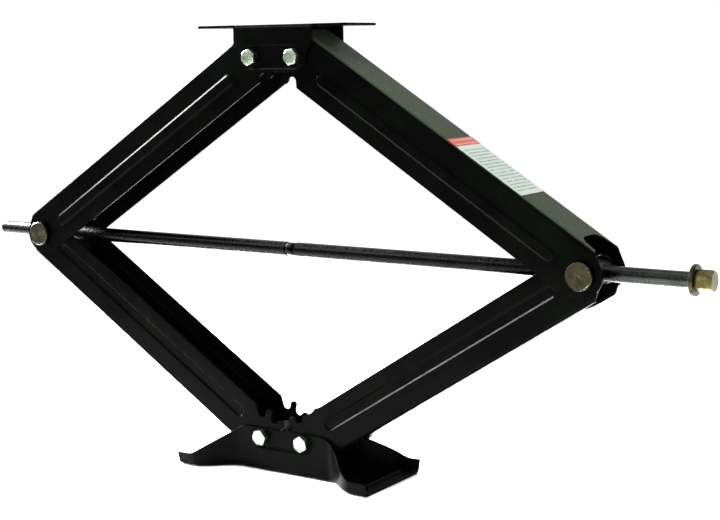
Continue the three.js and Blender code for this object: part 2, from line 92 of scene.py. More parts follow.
def linear(colour: str) -> tuple[float, float, float, float]:
    """Turn an sRGB hex colour into linear light.

    Args:
        colour: six hex digits.

    Returns:
        Linear red, green, blue and an alpha of 1.
    """
    parts = [int(colour[i : i + 2], 16) / 255 for i in (0, 2, 4)]
    r, g, b = (c / 12.92 if c <= 0.04045 else ((c + 0.055) / 1.055) ** 2.4 for c in parts)
    return (r, g, b, 1.0)


def add_node(
    tree: bpy.types.NodeTree,
    kind: str,
    settings: dict[str, Any] | None = None,
    inputs: dict[Any, Any] | None = None,
) -> bpy.types.Node:
    """Add a node with its settings, values and links.

    Args:
        tree: the node tree that gets it.
        kind: the node's type name.
        settings: attributes to set on the node.
        inputs: a value or an output socket for each input, by name or number.

    Returns:
        The new node.
    """
    node = tree.nodes.new(kind)
    for key, value in (settings or {}).items():
        setattr(node, key, value)
    for key, value in (inputs or {}).items():
        if isinstance(value, bpy.types.NodeSocket):
            tree.links.new(value, node.inputs[key])
        else:
            node.inputs[key].default_value = value
    return node


def smoothstep(low: float, high: float, value: np.ndarray) -> np.ndarray:
    """Ease from 0 at low to 1 at high."""
    t = np.clip((value - low) / (high - low), 0.0, 1.0)
    return t * t * (3.0 - 2.0 * t)


def eased_ramp(low: float, high: float, ease: float, value: float) -> float:
    """Climb in a straight line from 0 at low to 1 at high, with both corners rounded.

    Args:
        low: where the climb starts.
        high: where it ends.
        ease: half length of each rounded corner.
        value: the place.

    Returns:
        The height at that place.
    """
    def corner(offset: float) -> float:
        if offset <= -ease:
            return 0.0
        return offset if offset >= ease else (offset + ease) ** 2 / (4.0 * ease)

    return (corner(value - low) - corner(value - high)) / (high - low)


def arc(cx: float, cy: float, radius: float, start: float, stop: float, steps: int) -> Profile:
    """List points on an arc, both ends included, with its angles in degrees."""
    turns = np.radians(np.linspace(start, stop, steps + 1))
    return [(cx + radius * math.cos(t), cy + radius * math.sin(t)) for t in turns]


def segment_distance(points: np.ndarray, start: Point2, stop: Point2) -> np.ndarray:
    """Measure how far points lie from a straight segment.

    Args:
        points: an array of N pairs.
        start: one end of the segment.
        stop: its other end.

    Returns:
        N distances.
    """
    a, b = np.array(start, float), np.array(stop, float)
    along = np.clip(((points - a) @ (b - a)) / float((b - a) @ (b - a)), 0.0, 1.0)
    return np.linalg.norm(points - a - along[:, None] * (b - a), axis=1)


def bolt_recess(spots: np.ndarray, height: float, foot: float, lip: float) -> np.ndarray:
    """Measure the oblong recess round a pair of bolts.

    Args:
        spots: N pairs of X and height on an ear.
        height: the bolts' height.
        foot: distance from the bolts' line to the edge of the recess floor.
        lip: distance to where the recess has run out.

    Returns:
        N depths.
    """
    away = segment_distance(spots, (-PIVOT_HALF_SPACING, height), (PIVOT_HALF_SPACING, height))
    return EAR_RECESS * (1.0 - smoothstep(foot, lip, away))


def inside(points: np.ndarray, loop: Profile) -> np.ndarray:
    """Say which points lie inside a closed outline.

    Args:
        points: an array of N pairs.
        loop: the outline's corners.

    Returns:
        N truth values.
    """
    x, y = points[:, 0], points[:, 1]
    result = np.zeros(len(points), bool)
    corners = np.array(loop, float)
    for (x0, y0), (x1, y1) in zip(corners, np.roll(corners, -1, axis=0)):
        crosses = (y0 > y) != (y1 > y)
        if y0 != y1:
            result ^= crosses & (x < (x1 - x0) * (y - y0) / (y1 - y0) + x0)
    return result


def thinned(points: Profile, tolerance: float) -> Profile:
    """Drop points of an open line that lie within tolerance of the rest.

    Args:
        points: the line.
        tolerance: the largest step off the line that is dropped.

    Returns:
        The line with fewer points.
    """
    if len(points) < 3:
        return points
    middle = np.array(points[1:-1], float)
    gaps = segment_distance(middle, points[0], points[-1])
    worst = int(np.argmax(gaps))
    if gaps[worst] <= tolerance:
        return [points[0], points[-1]]
    split = worst + 1
    return thinned(points[: split + 1], tolerance)[:-1] + thinned(points[split:], tolerance)


def make_object(
    name: str,
    points: Sequence[Sequence[float]] | np.ndarray,
    faces: Sequence[Sequence[int]],
    uvs: Sequence[Point2] | None = None,
    sharp_degrees: float = SHARP_DEGREES,
) -> bpy.types.Object:
    """Make a smooth-shaded mesh object from millimetre points.

    Args:
        name: the piece's name.
        points: corner positions in millimetres.
        faces: corner numbers of each face.
        uvs: one UV pair for each point, or None.
        sharp_degrees: edges that bend more than this stay crisp.

    Returns:
        The object, linked to the scene at the origin.
    """
    mesh = bpy.data.meshes.new(name)
    mesh.from_pydata([tuple(float(c) * MM for c in p) for p in points], [], [tuple(f) for f in faces])
    if uvs is not None:
        layer = mesh.uv_layers.new(name="UVMap")
        for loop in mesh.loops:
            layer.data[loop.index].uv = uvs[loop.vertex_index]
    mesh.polygons.foreach_set("use_smooth", [True] * len(mesh.polygons))
    mesh.set_sharp_from_angle(angle=math.radians(sharp_degrees))
    mesh.update()
    piece = bpy.data.objects.new(name, mesh)
    bpy.context.scene.collection.objects.link(piece)
    return piece


def turned(name: str, profile: Profile, segments: int, place: Matrix) -> bpy.types.Object:
    """Turn a closed or axis-to-axis profile round local Z.

    Args:
        name: the piece's name.
        profile: pairs of radius and height.
        segments: steps round the axis.
        place: local millimetres to the row frame's millimetres.

    Returns:
        The object. Its UVs run round the piece in U and along the profile in millimetres in V.
    """
    run = np.concatenate([[0.0], np.cumsum(np.hypot(*np.diff(np.array(profile, float), axis=0).T))])
    points: list[Vector] = []
    uvs: list[Point2] = []
    rows: list[list[int]] = []
    for (radius, height), length in zip(profile, run):
        row = []
        for k in range(segments + 1):
            turn = 2 * math.pi * k / segments
            row.append(len(points))
            points.append(place @ Vector((radius * math.cos(turn), radius * math.sin(turn), height)))
            uvs.append((k / segments, float(length)))
        rows.append(row)
    faces = []
    for low, high in zip(rows, rows[1:]):
        for k in range(segments):
            faces.append((low[k], low[k + 1], high[k + 1], high[k]))
    piece = make_object(name, points, faces, uvs)
    closed_shell(piece, SHARP_DEGREES, merge=True)
    return piece


def thick_grid_faces(rows: int, width: int) -> list[tuple[int, ...]]:
    """Close two layers of grid points into one thick sheet.

    Args:
        rows: rows of points in each layer.
        width: points in each row.

    Returns:
        Faces of the first layer, of the second, and of the rim between them.
    """
    count = rows * width
    faces: list[tuple[int, ...]] = []
    for i in range(rows - 1):
        for j in range(width - 1):
            a = i * width + j
            faces.append((a, a + 1, a + width + 1, a + width))
            faces.append((a + count, a + width + count, a + width + 1 + count, a + 1 + count))
    last = (rows - 1) * width
    for j in range(width - 1):
        faces.append((j, j + count, j + 1 + count, j + 1))
        faces.append((last + j, last + j + 1, last + j + 1 + count, last + j + count))
    for i in range(rows - 1):
        a, b = i * width, (i + 1) * width
        faces.append((a, b, b + count, a + count))
        a, b = a + width - 1, b + width - 1
        faces.append((a, a + count, b + count, b))
    return faces


def closed_shell(piece: bpy.types.Object, sharp_degrees: float, merge: bool = False) -> None:
    """Face a closed mesh outward and mark its crisp edges.

    Args:
        piece: the piece.
        sharp_degrees: edges that bend more than this stay crisp.
        merge: True to join corners that meet, as at a seam or on an axis.
    """
    shell = bmesh.new()
    shell.from_mesh(piece.data)
    if merge:
        bmesh.ops.remove_doubles(shell, verts=shell.verts, dist=1e-7)
        bmesh.ops.dissolve_degenerate(shell, edges=shell.edges, dist=1e-8)
    bmesh.ops.recalc_face_normals(shell, faces=shell.faces)
    shell.to_mesh(piece.data)
    shell.free()
    piece.data.set_sharp_from_angle(angle=math.radians(sharp_degrees))


def combined(name: str, pieces: Sequence[bpy.types.Object]) -> bpy.types.Object:
    """Join finished meshes into one object.

    Args:
        name: the joined piece's name.
        pieces: the objects, which are used up.

    Returns:
        The joined object.
    """
    target = bmesh.new()
    for piece in pieces:
        target.from_mesh(piece.data)
    mesh = bpy.data.meshes.new(name)
    target.to_mesh(mesh)
    target.free()
    for piece in pieces:
        bpy.data.objects.remove(piece)
    result = bpy.data.objects.new(name, mesh)
    bpy.context.scene.collection.objects.link(result)
    return result


def baked(piece: bpy.types.Object) -> None:
    """Put the result of a piece's modifiers into its mesh and remove them."""
    graph = bpy.context.evaluated_depsgraph_get()
    mesh = bpy.data.meshes.new_from_object(piece.evaluated_get(graph), depsgraph=graph)
    piece.modifiers.clear()
    piece.data = mesh


def softened(piece: bpy.types.Object, width: float) -> None:
    """Round a piece's crisp edges and even out its shading.

    Args:
        piece: the piece.
        width: the bevel's width in millimetres.
    """
    bevel = piece.modifiers.new("edge_round", "BEVEL")
    bevel.width = width * MM
    bevel.segments = 2
    bevel.limit_method = "ANGLE"
    bevel.angle_limit = math.radians(40)
    bevel.use_clamp_overlap = False
    bevel.miter_outer = "MITER_ARC"
    shading = piece.modifiers.new("even_shading", "WEIGHTED_NORMAL")
    shading.mode = "FACE_AREA_WITH_ANGLE"
    shading.weight = 60


def axis_place(x: float, y: float, z: float, along: str) -> Matrix:
    """Give the matrix that stands local +Z along a row axis at a point.

    Args:
        x: the point's X in millimetres.
        y: its Y.
        z: its Z.
        along: "+X", "-Y" or "+Y".

    Returns:
        The matrix from local millimetres to the row frame's millimetres.
    """
    turns = {
        "+X": Matrix.Rotation(math.pi / 2, 4, "Y"),
        "-Y": Matrix.Rotation(math.pi / 2, 4, "X"),
        "+Y": Matrix.Rotation(-math.pi / 2, 4, "X"),
    }
    return Matrix.Translation((x, y, z)) @ turns[along]


# ---- finishes -----------------------------------------------------------------------------


@dataclass(frozen=True)
class Finish:
    """A material that is made once and shared by the pieces that wear it."""

    name: str
    slot: str

    def material(self) -> bpy.types.Material:
        """Return the material, made on first use."""
        found = bpy.data.materials.get(self.name)
        if found is not None:
            return found
        material = bpy.data.materials.new(self.name)
        material.use_nodes = True
        tree = material.node_tree
        tree.nodes.clear()
        shader = add_node(tree, "ShaderNodeBsdfPrincipled")
        add_node(tree, "ShaderNodeOutputMaterial", inputs={"Surface": shader.outputs["BSDF"]})
        self.dress(tree, shader)
        return material

    def dress(self, tree: bpy.types.NodeTree, shader: bpy.types.Node) -> None:
        """Set the shader up. Each finish has its own."""
        raise NotImplementedError

    def speckle(self, tree: bpy.types.NodeTree, size: float, detail: float) -> bpy.types.NodeSocket:
        """Add a noise pattern fixed to the piece.

        Args:
            tree: the material's tree.
            size: the pattern's grain in millimetres.
            detail: how many finer layers it has.

        Returns:
            The noise value.
        """
        place = add_node(tree, "ShaderNodeTexCoord")
        noise = add_node(
            tree,
            "ShaderNodeTexNoise",
            inputs={
                "Vector": place.outputs["Object"],
                "Scale": 1.0 / (size * MM),
                "Detail": detail,
                "Roughness": 0.55,
            },
        )
        return noise.outputs["Fac"]

    def uneven(
        self, tree: bpy.types.NodeTree, size: float, detail: float, low: float, high: float
    ) -> bpy.types.NodeSocket:
        """Vary a value over the piece.

        Args:
            tree: the material's tree.
            size: the pattern's grain in millimetres.
            detail: how many finer layers it has.
            low: result where the noise is 0.3.
            high: result where it is 0.7.

        Returns:
            The varied value.
        """
        noise = self.speckle(tree, size, detail)
        limits = {"Value": noise, "From Min": 0.3, "From Max": 0.7, "To Min": low, "To Max": high}
        return add_node(tree, "ShaderNodeMapRange", inputs=limits).outputs["Result"]

    def relief(
        self, tree: bpy.types.NodeTree, height: bpy.types.NodeSocket, depth: float, shader: bpy.types.Node
    ) -> None:
        """Let a height pattern tilt the surface.

        Args:
            tree: the material's tree.
            height: the pattern, 0 to 1.
            depth: its real depth in millimetres.
            shader: the shader that gets it.
        """
        lift = {"Height": height, "Distance": depth * MM, "Strength": 1.0}
        bump = add_node(tree, "ShaderNodeBump", inputs=lift)
        tree.links.new(bump.outputs["Normal"], shader.inputs["Normal"])


@dataclass(frozen=True)
class BlackEnamel(Finish):
    """Dipped gloss black enamel on pressed steel: almost no colour, soft orange peel, clear gloss."""

    colour: str = "010101"
    dust: str = "030403"
    # Colour of upward faces: settled dust mixed with a painted sheen.
    settled_dust_and_sheen: str = "030403"
    specular: float = 0.012

    def dress(self, tree: bpy.types.NodeTree, shader: bpy.types.Node) -> None:
        """Add the dust tint, the lighter upward faces (settled dust and a painted sheen), the uneven gloss
        and the orange peel.
        """
        film = self.uneven(tree, 60.0, 3.0, 0.0, 1.0)
        colours = {"Factor": film, 6: linear(self.colour), 7: linear(self.dust)}
        tint = add_node(tree, "ShaderNodeMix", TWO_COLOURS, colours)
        place = add_node(tree, "ShaderNodeTexCoord")
        facing = add_node(tree, "ShaderNodeSeparateXYZ", inputs={0: place.outputs["Normal"]})
        # Faces turned upward are painted lighter: partly settled dust, partly a painted sheen that stands in
        # for light on the web.
        upward = add_node(
            tree,
            "ShaderNodeMapRange",
            inputs={"Value": facing.outputs["Z"], "From Min": 0.55, "From Max": 0.85},
        )
        grit = self.uneven(tree, 2.0, 3.0, 0.5, 1.0)
        dust_and_sheen_cover = add_node(
            tree, "ShaderNodeMath", {"operation": "MULTIPLY"}, {0: upward.outputs["Result"], 1: grit}
        )
        dust_and_sheen = add_node(
            tree,
            "ShaderNodeMix",
            TWO_COLOURS,
            {"Factor": dust_and_sheen_cover.outputs[0], 6: tint.outputs[2], 7: linear(self.settled_dust_and_sheen)},
        )
        tree.links.new(dust_and_sheen.outputs[2], shader.inputs["Base Color"])
        tree.links.new(self.uneven(tree, 14.0, 4.0, 0.2, 0.3), shader.inputs["Roughness"])
        # Real orange peel is 1 to 2 mm across; drawn at 3 mm so that it breaks up the reflections.
        self.relief(tree, self.speckle(tree, 3.0, 2.0), 0.012, shader)
        shader.inputs["Specular IOR Level"].default_value = self.specular
        shader.inputs["IOR"].default_value = 1.38


@dataclass(frozen=True)
class PlatedSteel(Finish):
    """Zinc plate over steel: metallic, a little cloudy, with its own tint."""

    colour: str = "b3beb0"
    cloud: str = "66705f"
    roughness: float = 0.3
    grain: float = 2.5

    def dress(self, tree: bpy.types.NodeTree, shader: bpy.types.Node) -> None:
        """Add the clouded tint and the fine crystalline roughness."""
        cloudy = self.uneven(tree, self.grain, 4.0, 0.0, 1.0)
        colours = {"Factor": cloudy, 6: linear(self.colour), 7: linear(self.cloud)}
        tint = add_node(tree, "ShaderNodeMix", TWO_COLOURS, colours)
        tree.links.new(tint.outputs[2], shader.inputs["Base Color"])
        dull = self.uneven(tree, 1.1, 3.0, self.roughness - 0.06, self.roughness + 0.1)
        tree.links.new(dull, shader.inputs["Roughness"])
        self.relief(tree, self.speckle(tree, 0.7, 2.0), 0.008, shader)
        shader.inputs["Metallic"].default_value = 1.0


@dataclass(frozen=True)
class TurnedYellowZinc(PlatedSteel):
    """Lathe-turned steel under yellow zinc: brassy, with rings that spread light into wedges."""

    # Painted dark: these plating colours stand in for the dark surroundings that the turned faces reflect, as
    # painted shade.
    colour: str = "2c291c"
    cloud: str = "1d1b13"
    roughness: float = 0.28
    grain: float = 6.0
    ring_pitch: float = 0.55
    anisotropy: float = 0.75

    def dress(self, tree: bpy.types.NodeTree, shader: bpy.types.Node) -> None:
        """Add the plating, then the turning rings and their spread highlight."""
        super().dress(tree, shader)
        place = add_node(tree, "ShaderNodeUVMap", {"uv_map": "UVMap"})
        split = add_node(tree, "ShaderNodeSeparateXYZ", inputs={0: place.outputs["UV"]})
        # Feed marks are about 0.2 mm apart; drawn at 0.55 mm so that they show as rings.
        turns = add_node(
            tree,
            "ShaderNodeMath",
            {"operation": "MULTIPLY"},
            {0: split.outputs["Y"], 1: 2 * math.pi / self.ring_pitch},
        )
        wave = add_node(tree, "ShaderNodeMath", {"operation": "SINE"}, {0: turns.outputs[0]})
        self.relief(tree, wave.outputs[0], 0.012, shader)
        tangent = add_node(tree, "ShaderNodeTangent", {"direction_type": "UV_MAP", "uv_map": "UVMap"})
        tree.links.new(tangent.outputs[0], shader.inputs["Tangent"])
        shader.inputs["Anisotropic"].default_value = self.anisotropy


@dataclass(frozen=True)
class OiledThread(Finish):
    """Rolled thread under a film of dark oil: black in the roots and lighter on the crests, partly the oil
    and partly painted shade in the roots and painted highlights on the crests.
    """

    # Roots painted dark and crests painted light: oil in the roots, with painted shade and painted highlight.
    root_colour: str = "010101"
    crest_colour: str = "282a28"
    root_radius: float = 7.35
    crest_radius: float = 7.98
    axis_height: float = SCREW_HEIGHT
    # Painted shade: the crests stay dark up to here, then are painted brighter towards the drive end as a
    # painted highlight.
    oiled_to: float = 330.0
    crest_light_from: float = 400.0
    crest_shade_level: float = 0.14

    def dress(self, tree: bpy.types.NodeTree, shader: bpy.types.Node) -> None:
        """Tint the thread by its distance from the screw's axis, as painted shade in the roots and painted
        highlights on the crests, dim the crests away from the drive end as painted shade, and roughen it
        unevenly.
        """
        place = add_node(tree, "ShaderNodeTexCoord")
        centred = add_node(
            tree,
            "ShaderNodeVectorMath",
            {"operation": "SUBTRACT"},
            {0: place.outputs["Object"], 1: (0.0, 0.0, self.axis_height * MM)},
        )
        across = add_node(
            tree,
            "ShaderNodeVectorMath",
            {"operation": "MULTIPLY"},
            {0: centred.outputs[0], 1: (0.0, 1.0, 1.0)},
        )
        radius = add_node(tree, "ShaderNodeVectorMath", {"operation": "LENGTH"}, {0: across.outputs[0]})
        # Crests painted lighter and roots darker: oil in the roots, with painted highlight and painted shade.
        height = add_node(
            tree,
            "ShaderNodeMapRange",
            inputs={
                "Value": radius.outputs["Value"],
                "From Min": self.root_radius * MM,
                "From Max": self.crest_radius * MM,
            },
        )
        patchy = add_node(
            tree,
            "ShaderNodeMath",
            {"operation": "MULTIPLY"},
            {0: height.outputs["Result"], 1: self.uneven(tree, 22.0, 3.0, 0.55, 1.0)},
        )
        spot = add_node(tree, "ShaderNodeSeparateXYZ", inputs={0: place.outputs["Object"]})
        # Painted shade: the crests are dimmed left of the drive end and painted bright towards it.
        crest_light_ramp = add_node(
            tree,
            "ShaderNodeMapRange",
            inputs={
                "Value": spot.outputs["X"],
                "From Min": self.oiled_to * MM,
                "From Max": self.crest_light_from * MM,
                "To Min": self.crest_shade_level,
                "To Max": 1.0,
            },
        )
        painted_crest_light = add_node(
            tree,
            "ShaderNodeMath",
            {"operation": "MULTIPLY"},
            {0: patchy.outputs[0], 1: crest_light_ramp.outputs["Result"]},
        )
        tint = add_node(
            tree,
            "ShaderNodeMix",
            TWO_COLOURS,
            {"Factor": painted_crest_light.outputs[0], 6: linear(self.root_colour), 7: linear(self.crest_colour)},
        )
        tree.links.new(tint.outputs[2], shader.inputs["Base Color"])
        tree.links.new(self.uneven(tree, 3.0, 3.0, 0.2, 0.34), shader.inputs["Roughness"])
        shader.inputs["Metallic"].default_value = 1.0


@dataclass(frozen=True)
class LabelFilm(Finish):
    """Printed film: coral head band, pale body, rows of plain grey bars in place of any wording."""

    paper: str = "9aa69d"
    band: str = "963523"
    ink: str = "5f685f"
    stripe: str = "b88070"
    band_end: float = 0.135
    rows: float = 17.0

    def dress(self, tree: bpy.types.NodeTree, shader: bpy.types.Node) -> None:
        """Draw the band and the bars from the label's own UVs."""
        place = add_node(tree, "ShaderNodeUVMap", {"uv_map": "UVMap"})
        split = add_node(tree, "ShaderNodeSeparateXYZ", inputs={0: place.outputs["UV"]})
        made: dict[str, Any] = {"along": split.outputs["X"], "across": split.outputs["Y"]}

        def work(*steps: tuple[str, str, Any, Any]) -> None:
            """Work out named values in order, each from named values or numbers."""
            for result, operation, first, second in steps:
                terms = {0: made.get(first, first), 1: made.get(second, second)}
                made[result] = add_node(tree, "ShaderNodeMath", {"operation": operation}, terms).outputs[0]

        work(
            ("row", "MULTIPLY", "along", self.rows / (1.0 - self.band_end)),
            ("in_row", "FRACT", "row", 0.0),
            ("bar", "LESS_THAN", "in_row", 0.42),
            ("number", "FLOOR", "row", 0.0),
            ("cell_x", "MULTIPLY", "across", 26.0),
            ("cell_y", "MULTIPLY", "number", 7.3),
        )
        cell = add_node(tree, "ShaderNodeCombineXYZ", inputs={0: made["cell_x"], 1: made["cell_y"]})
        breaks = add_node(
            tree, "ShaderNodeTexNoise", inputs={"Vector": cell.outputs[0], "Scale": 1.0, "Detail": 0.0}
        )
        made["breaks"] = breaks.outputs["Fac"]
        work(
            ("word", "GREATER_THAN", "breaks", 0.42),
            ("low_side", "GREATER_THAN", "across", 0.07),
            ("high_side", "LESS_THAN", "across", 0.93),
            ("body", "GREATER_THAN", "along", self.band_end + 0.04),
            ("tail", "LESS_THAN", "along", 0.95),
            # Two plain pale stripes inside the head band.
            ("in_head", "DIVIDE", "along", self.band_end),
            ("head_rows", "MULTIPLY", "in_head", 2.0),
            ("head_row", "FRACT", "head_rows", 0.0),
            ("stripe", "COMPARE", "head_row", 0.5),
            ("in_band", "LESS_THAN", "along", self.band_end),
        )
        made["stripe"].node.inputs[2].default_value = 0.14
        for mark, limits in (
            ("bar", ("word", "low_side", "high_side", "body", "tail")),
            ("stripe", ("word", "low_side", "high_side")),
        ):
            for limit in limits:
                work((mark, "MULTIPLY", mark, limit))
        for result, factor, first, second in (
            ("printed", "bar", linear(self.paper), linear(self.ink)),
            ("head", "stripe", linear(self.band), linear(self.stripe)),
            ("face", "in_band", "printed", "head"),
        ):
            colours = {"Factor": made[factor], 6: made.get(first, first), 7: made.get(second, second)}
            made[result] = add_node(tree, "ShaderNodeMix", TWO_COLOURS, colours).outputs[2]
        tree.links.new(made["face"], shader.inputs["Base Color"])
        tree.links.new(self.uneven(tree, 9.0, 2.0, 0.32, 0.45), shader.inputs["Roughness"])


BLACK_ENAMEL = BlackEnamel("dipped black enamel", "black_enamel")
# Lighter upward faces: settled dust plus a painted sheen where the upper right arm's web catches the light.
DUST_AND_SHEEN_ENAMEL = BlackEnamel("black enamel with settled dust", "black_enamel", settled_dust_and_sheen="3e473a")
BRIGHT_ZINC = PlatedSteel("bright zinc plate", "bright_zinc", colour="8e9a8c", cloud="4c5647")
# Painted dark: the hex's plating colours stand in for the dark surroundings that it reflects, as painted
# shade.
YELLOW_ZINC = PlatedSteel(
    "yellow zinc plate", "yellow_zinc", colour="5a5431", cloud="312d16", roughness=0.3, grain=5.0
)
TURNED_ZINC = TurnedYellowZinc("turned yellow zinc", "yellow_zinc")
OILED_THREAD = OiledThread("oiled rolled thread", "oiled_steel")
PLAIN_STEEL = PlatedSteel(
    "plain drawn steel", "grey_steel", colour="7d7e7a", cloud="5c5d59", roughness=0.38, grain=4.0
)
LABEL_FILM = LabelFilm("printed label film", "label_paper")


def settled(
    piece: bpy.types.Object, finish: Finish, body: str, nodes: Sequence[str]
) -> bpy.types.Object:
    """Dress a piece, hang it on its body and let it stand for its frame nodes.

    Args:
        piece: the finished mesh object.
        finish: what it wears.
        body: the body that it moves with.
        nodes: the frame nodes that it stands for.

    Returns:
        The same piece.
    """
    piece.data.materials.clear()
    piece.data.materials.append(finish.material())
    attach(piece, body)
    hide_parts(*nodes)
    LOG.info("%s: %d faces, rides on %s", piece.name, len(piece.data.polygons), body)
    return piece


# ---- pressed sheet ------------------------------------------------------------------------


@dataclass
class PressedSheet:
    """A flat blank, cut to an outline, then folded and embossed into its final form.

    Attributes:
        outer: the blank's outline, anticlockwise.
        holes: outlines cut out of it.
        lines: extra lines of points, so that bends and embossings have edges to follow.
        thickness: the sheet's thickness in millimetres.
        fold: turns N blank points into N outer-face points and N outward normals.
        press: height of the outer and inner face over the folded sheet at N blank points.
        place: local millimetres to the row frame's millimetres.
    """

    outer: Profile
    holes: list[Profile]
    lines: list[Profile]
    thickness: float
    fold: Callable[[np.ndarray], tuple[np.ndarray, np.ndarray]]
    press: Callable[[np.ndarray], tuple[np.ndarray, np.ndarray]]
    place: Matrix

    def triangles(self) -> tuple[np.ndarray, list[tuple[int, int, int]]]:
        """Fill the blank with triangles.

        Returns:
            Blank points, and corner numbers of each triangle, anticlockwise.
        """
        points: list[Vector] = []
        edges: list[tuple[int, int]] = []
        for loop in [self.outer, *self.holes]:
            first = len(points)
            points.extend(Vector(p) for p in loop)
            edges.extend((first + k, first + (k + 1) % len(loop)) for k in range(len(loop)))
        for line in self.lines:
            first = len(points)
            points.extend(Vector(p) for p in line)
            edges.extend((first + k, first + k + 1) for k in range(len(line) - 1))
        found, _, faces, *_ = delaunay_2d_cdt(points, edges, [], 0, 1e-4)
        flat = np.array([tuple(p) for p in found])
        corners = np.array([tuple(f) for f in faces])
        centres = flat[corners].mean(axis=1)
        keep = inside(centres, self.outer)
        for hole in self.holes:
            keep &= ~inside(centres, hole)
        a, b, c = (flat[corners[:, k]] for k in range(3))
        area = (b[:, 0] - a[:, 0]) * (c[:, 1] - a[:, 1]) - (b[:, 1] - a[:, 1]) * (c[:, 0] - a[:, 0])
        keep &= np.abs(area) > 1e-5
        corners = np.where((area < 0)[:, None], corners[:, ::-1], corners)[keep]
        used, corners = np.unique(corners, return_inverse=True)
        return flat[used], [tuple(int(i) for i in row) for row in corners.reshape(-1, 3)]

    def build(self, name: str) -> bpy.types.Object:
        """Cut, fold and emboss the sheet.

        Args:
            name: the piece's name.

        Returns:
            The closed sheet, with rounded edges.
        """
        flat, faces = self.triangles()
        face_points, normals = self.fold(flat)
        high, low = self.press(flat)
        outer = face_points + normals * high[:, None]
        inner = face_points + normals * (low - self.thickness)[:, None]
        count = len(flat)
        shell = [*faces, *((c + count, b + count, a + count) for a, b, c in faces)]
        sides = {}
        for a, b, c in faces:
            for edge in ((a, b), (b, c), (c, a)):
                sides[edge] = True
        for a, b in sides:
            if (b, a) not in sides:
                shell.append((a, a + count, b + count, b))
        points = [self.place @ Vector(p) for p in np.concatenate([outer, inner])]
        piece = make_object(name, points, shell, sharp_degrees=40.0)
        softened(piece, 0.35)
        return piece


@dataclass
class ChannelFold:
    """The fold of a U channel: a web, two bends and two flanges.

    Attributes:
        half_width: outer half width of the channel.
        web_height: outer face of the web over the local origin.
        radius: outer radius of the bends.
    """

    half_width: float
    web_height: float
    radius: float = 4.0

    @property
    def flat_half(self) -> float:
        """Half width of the web's flat part."""
        return self.half_width - self.radius

    @property
    def bend_end(self) -> float:
        """Blank distance from the middle to where the bend meets the flange."""
        return self.flat_half + self.radius * math.pi / 2

    def across(self, height: float) -> float:
        """Blank distance from the middle to a height on the flange."""
        return self.bend_end + self.web_height - self.radius - height

    def __call__(self, flat: np.ndarray) -> tuple[np.ndarray, np.ndarray]:
        """Fold blank points.

        Args:
            flat: N pairs, along and across the blank.

        Returns:
            N points on the channel's outer face and their outward normals.
        """
        along, across = flat[:, 0], flat[:, 1]
        sign = np.sign(across)
        reach = np.abs(across)
        turn = np.clip((reach - self.flat_half) / self.radius, 0.0, math.pi / 2)
        drop = np.clip(reach - self.bend_end, 0.0, None)
        y = sign * (np.minimum(reach, self.flat_half) + self.radius * np.sin(turn))
        z = self.web_height - self.radius + self.radius * np.cos(turn) - drop
        points = np.stack([along, y, z], axis=1)
        normals = np.stack([np.zeros_like(y), sign * np.sin(turn), np.cos(turn)], axis=1)
        return points, normals

    def bend_lines(self, start: float, stop: float) -> list[Profile]:
        """Lines along both bends, with one more on each side to keep the flats flat."""
        steps = [self.flat_half - 0.8, *np.linspace(self.flat_half, self.bend_end, 7), self.bend_end + 0.8]
        return [[(start, s * float(v)), (stop, s * float(v))] for v in steps for s in (-1, 1)]


# ---- arms ---------------------------------------------------------------------------------


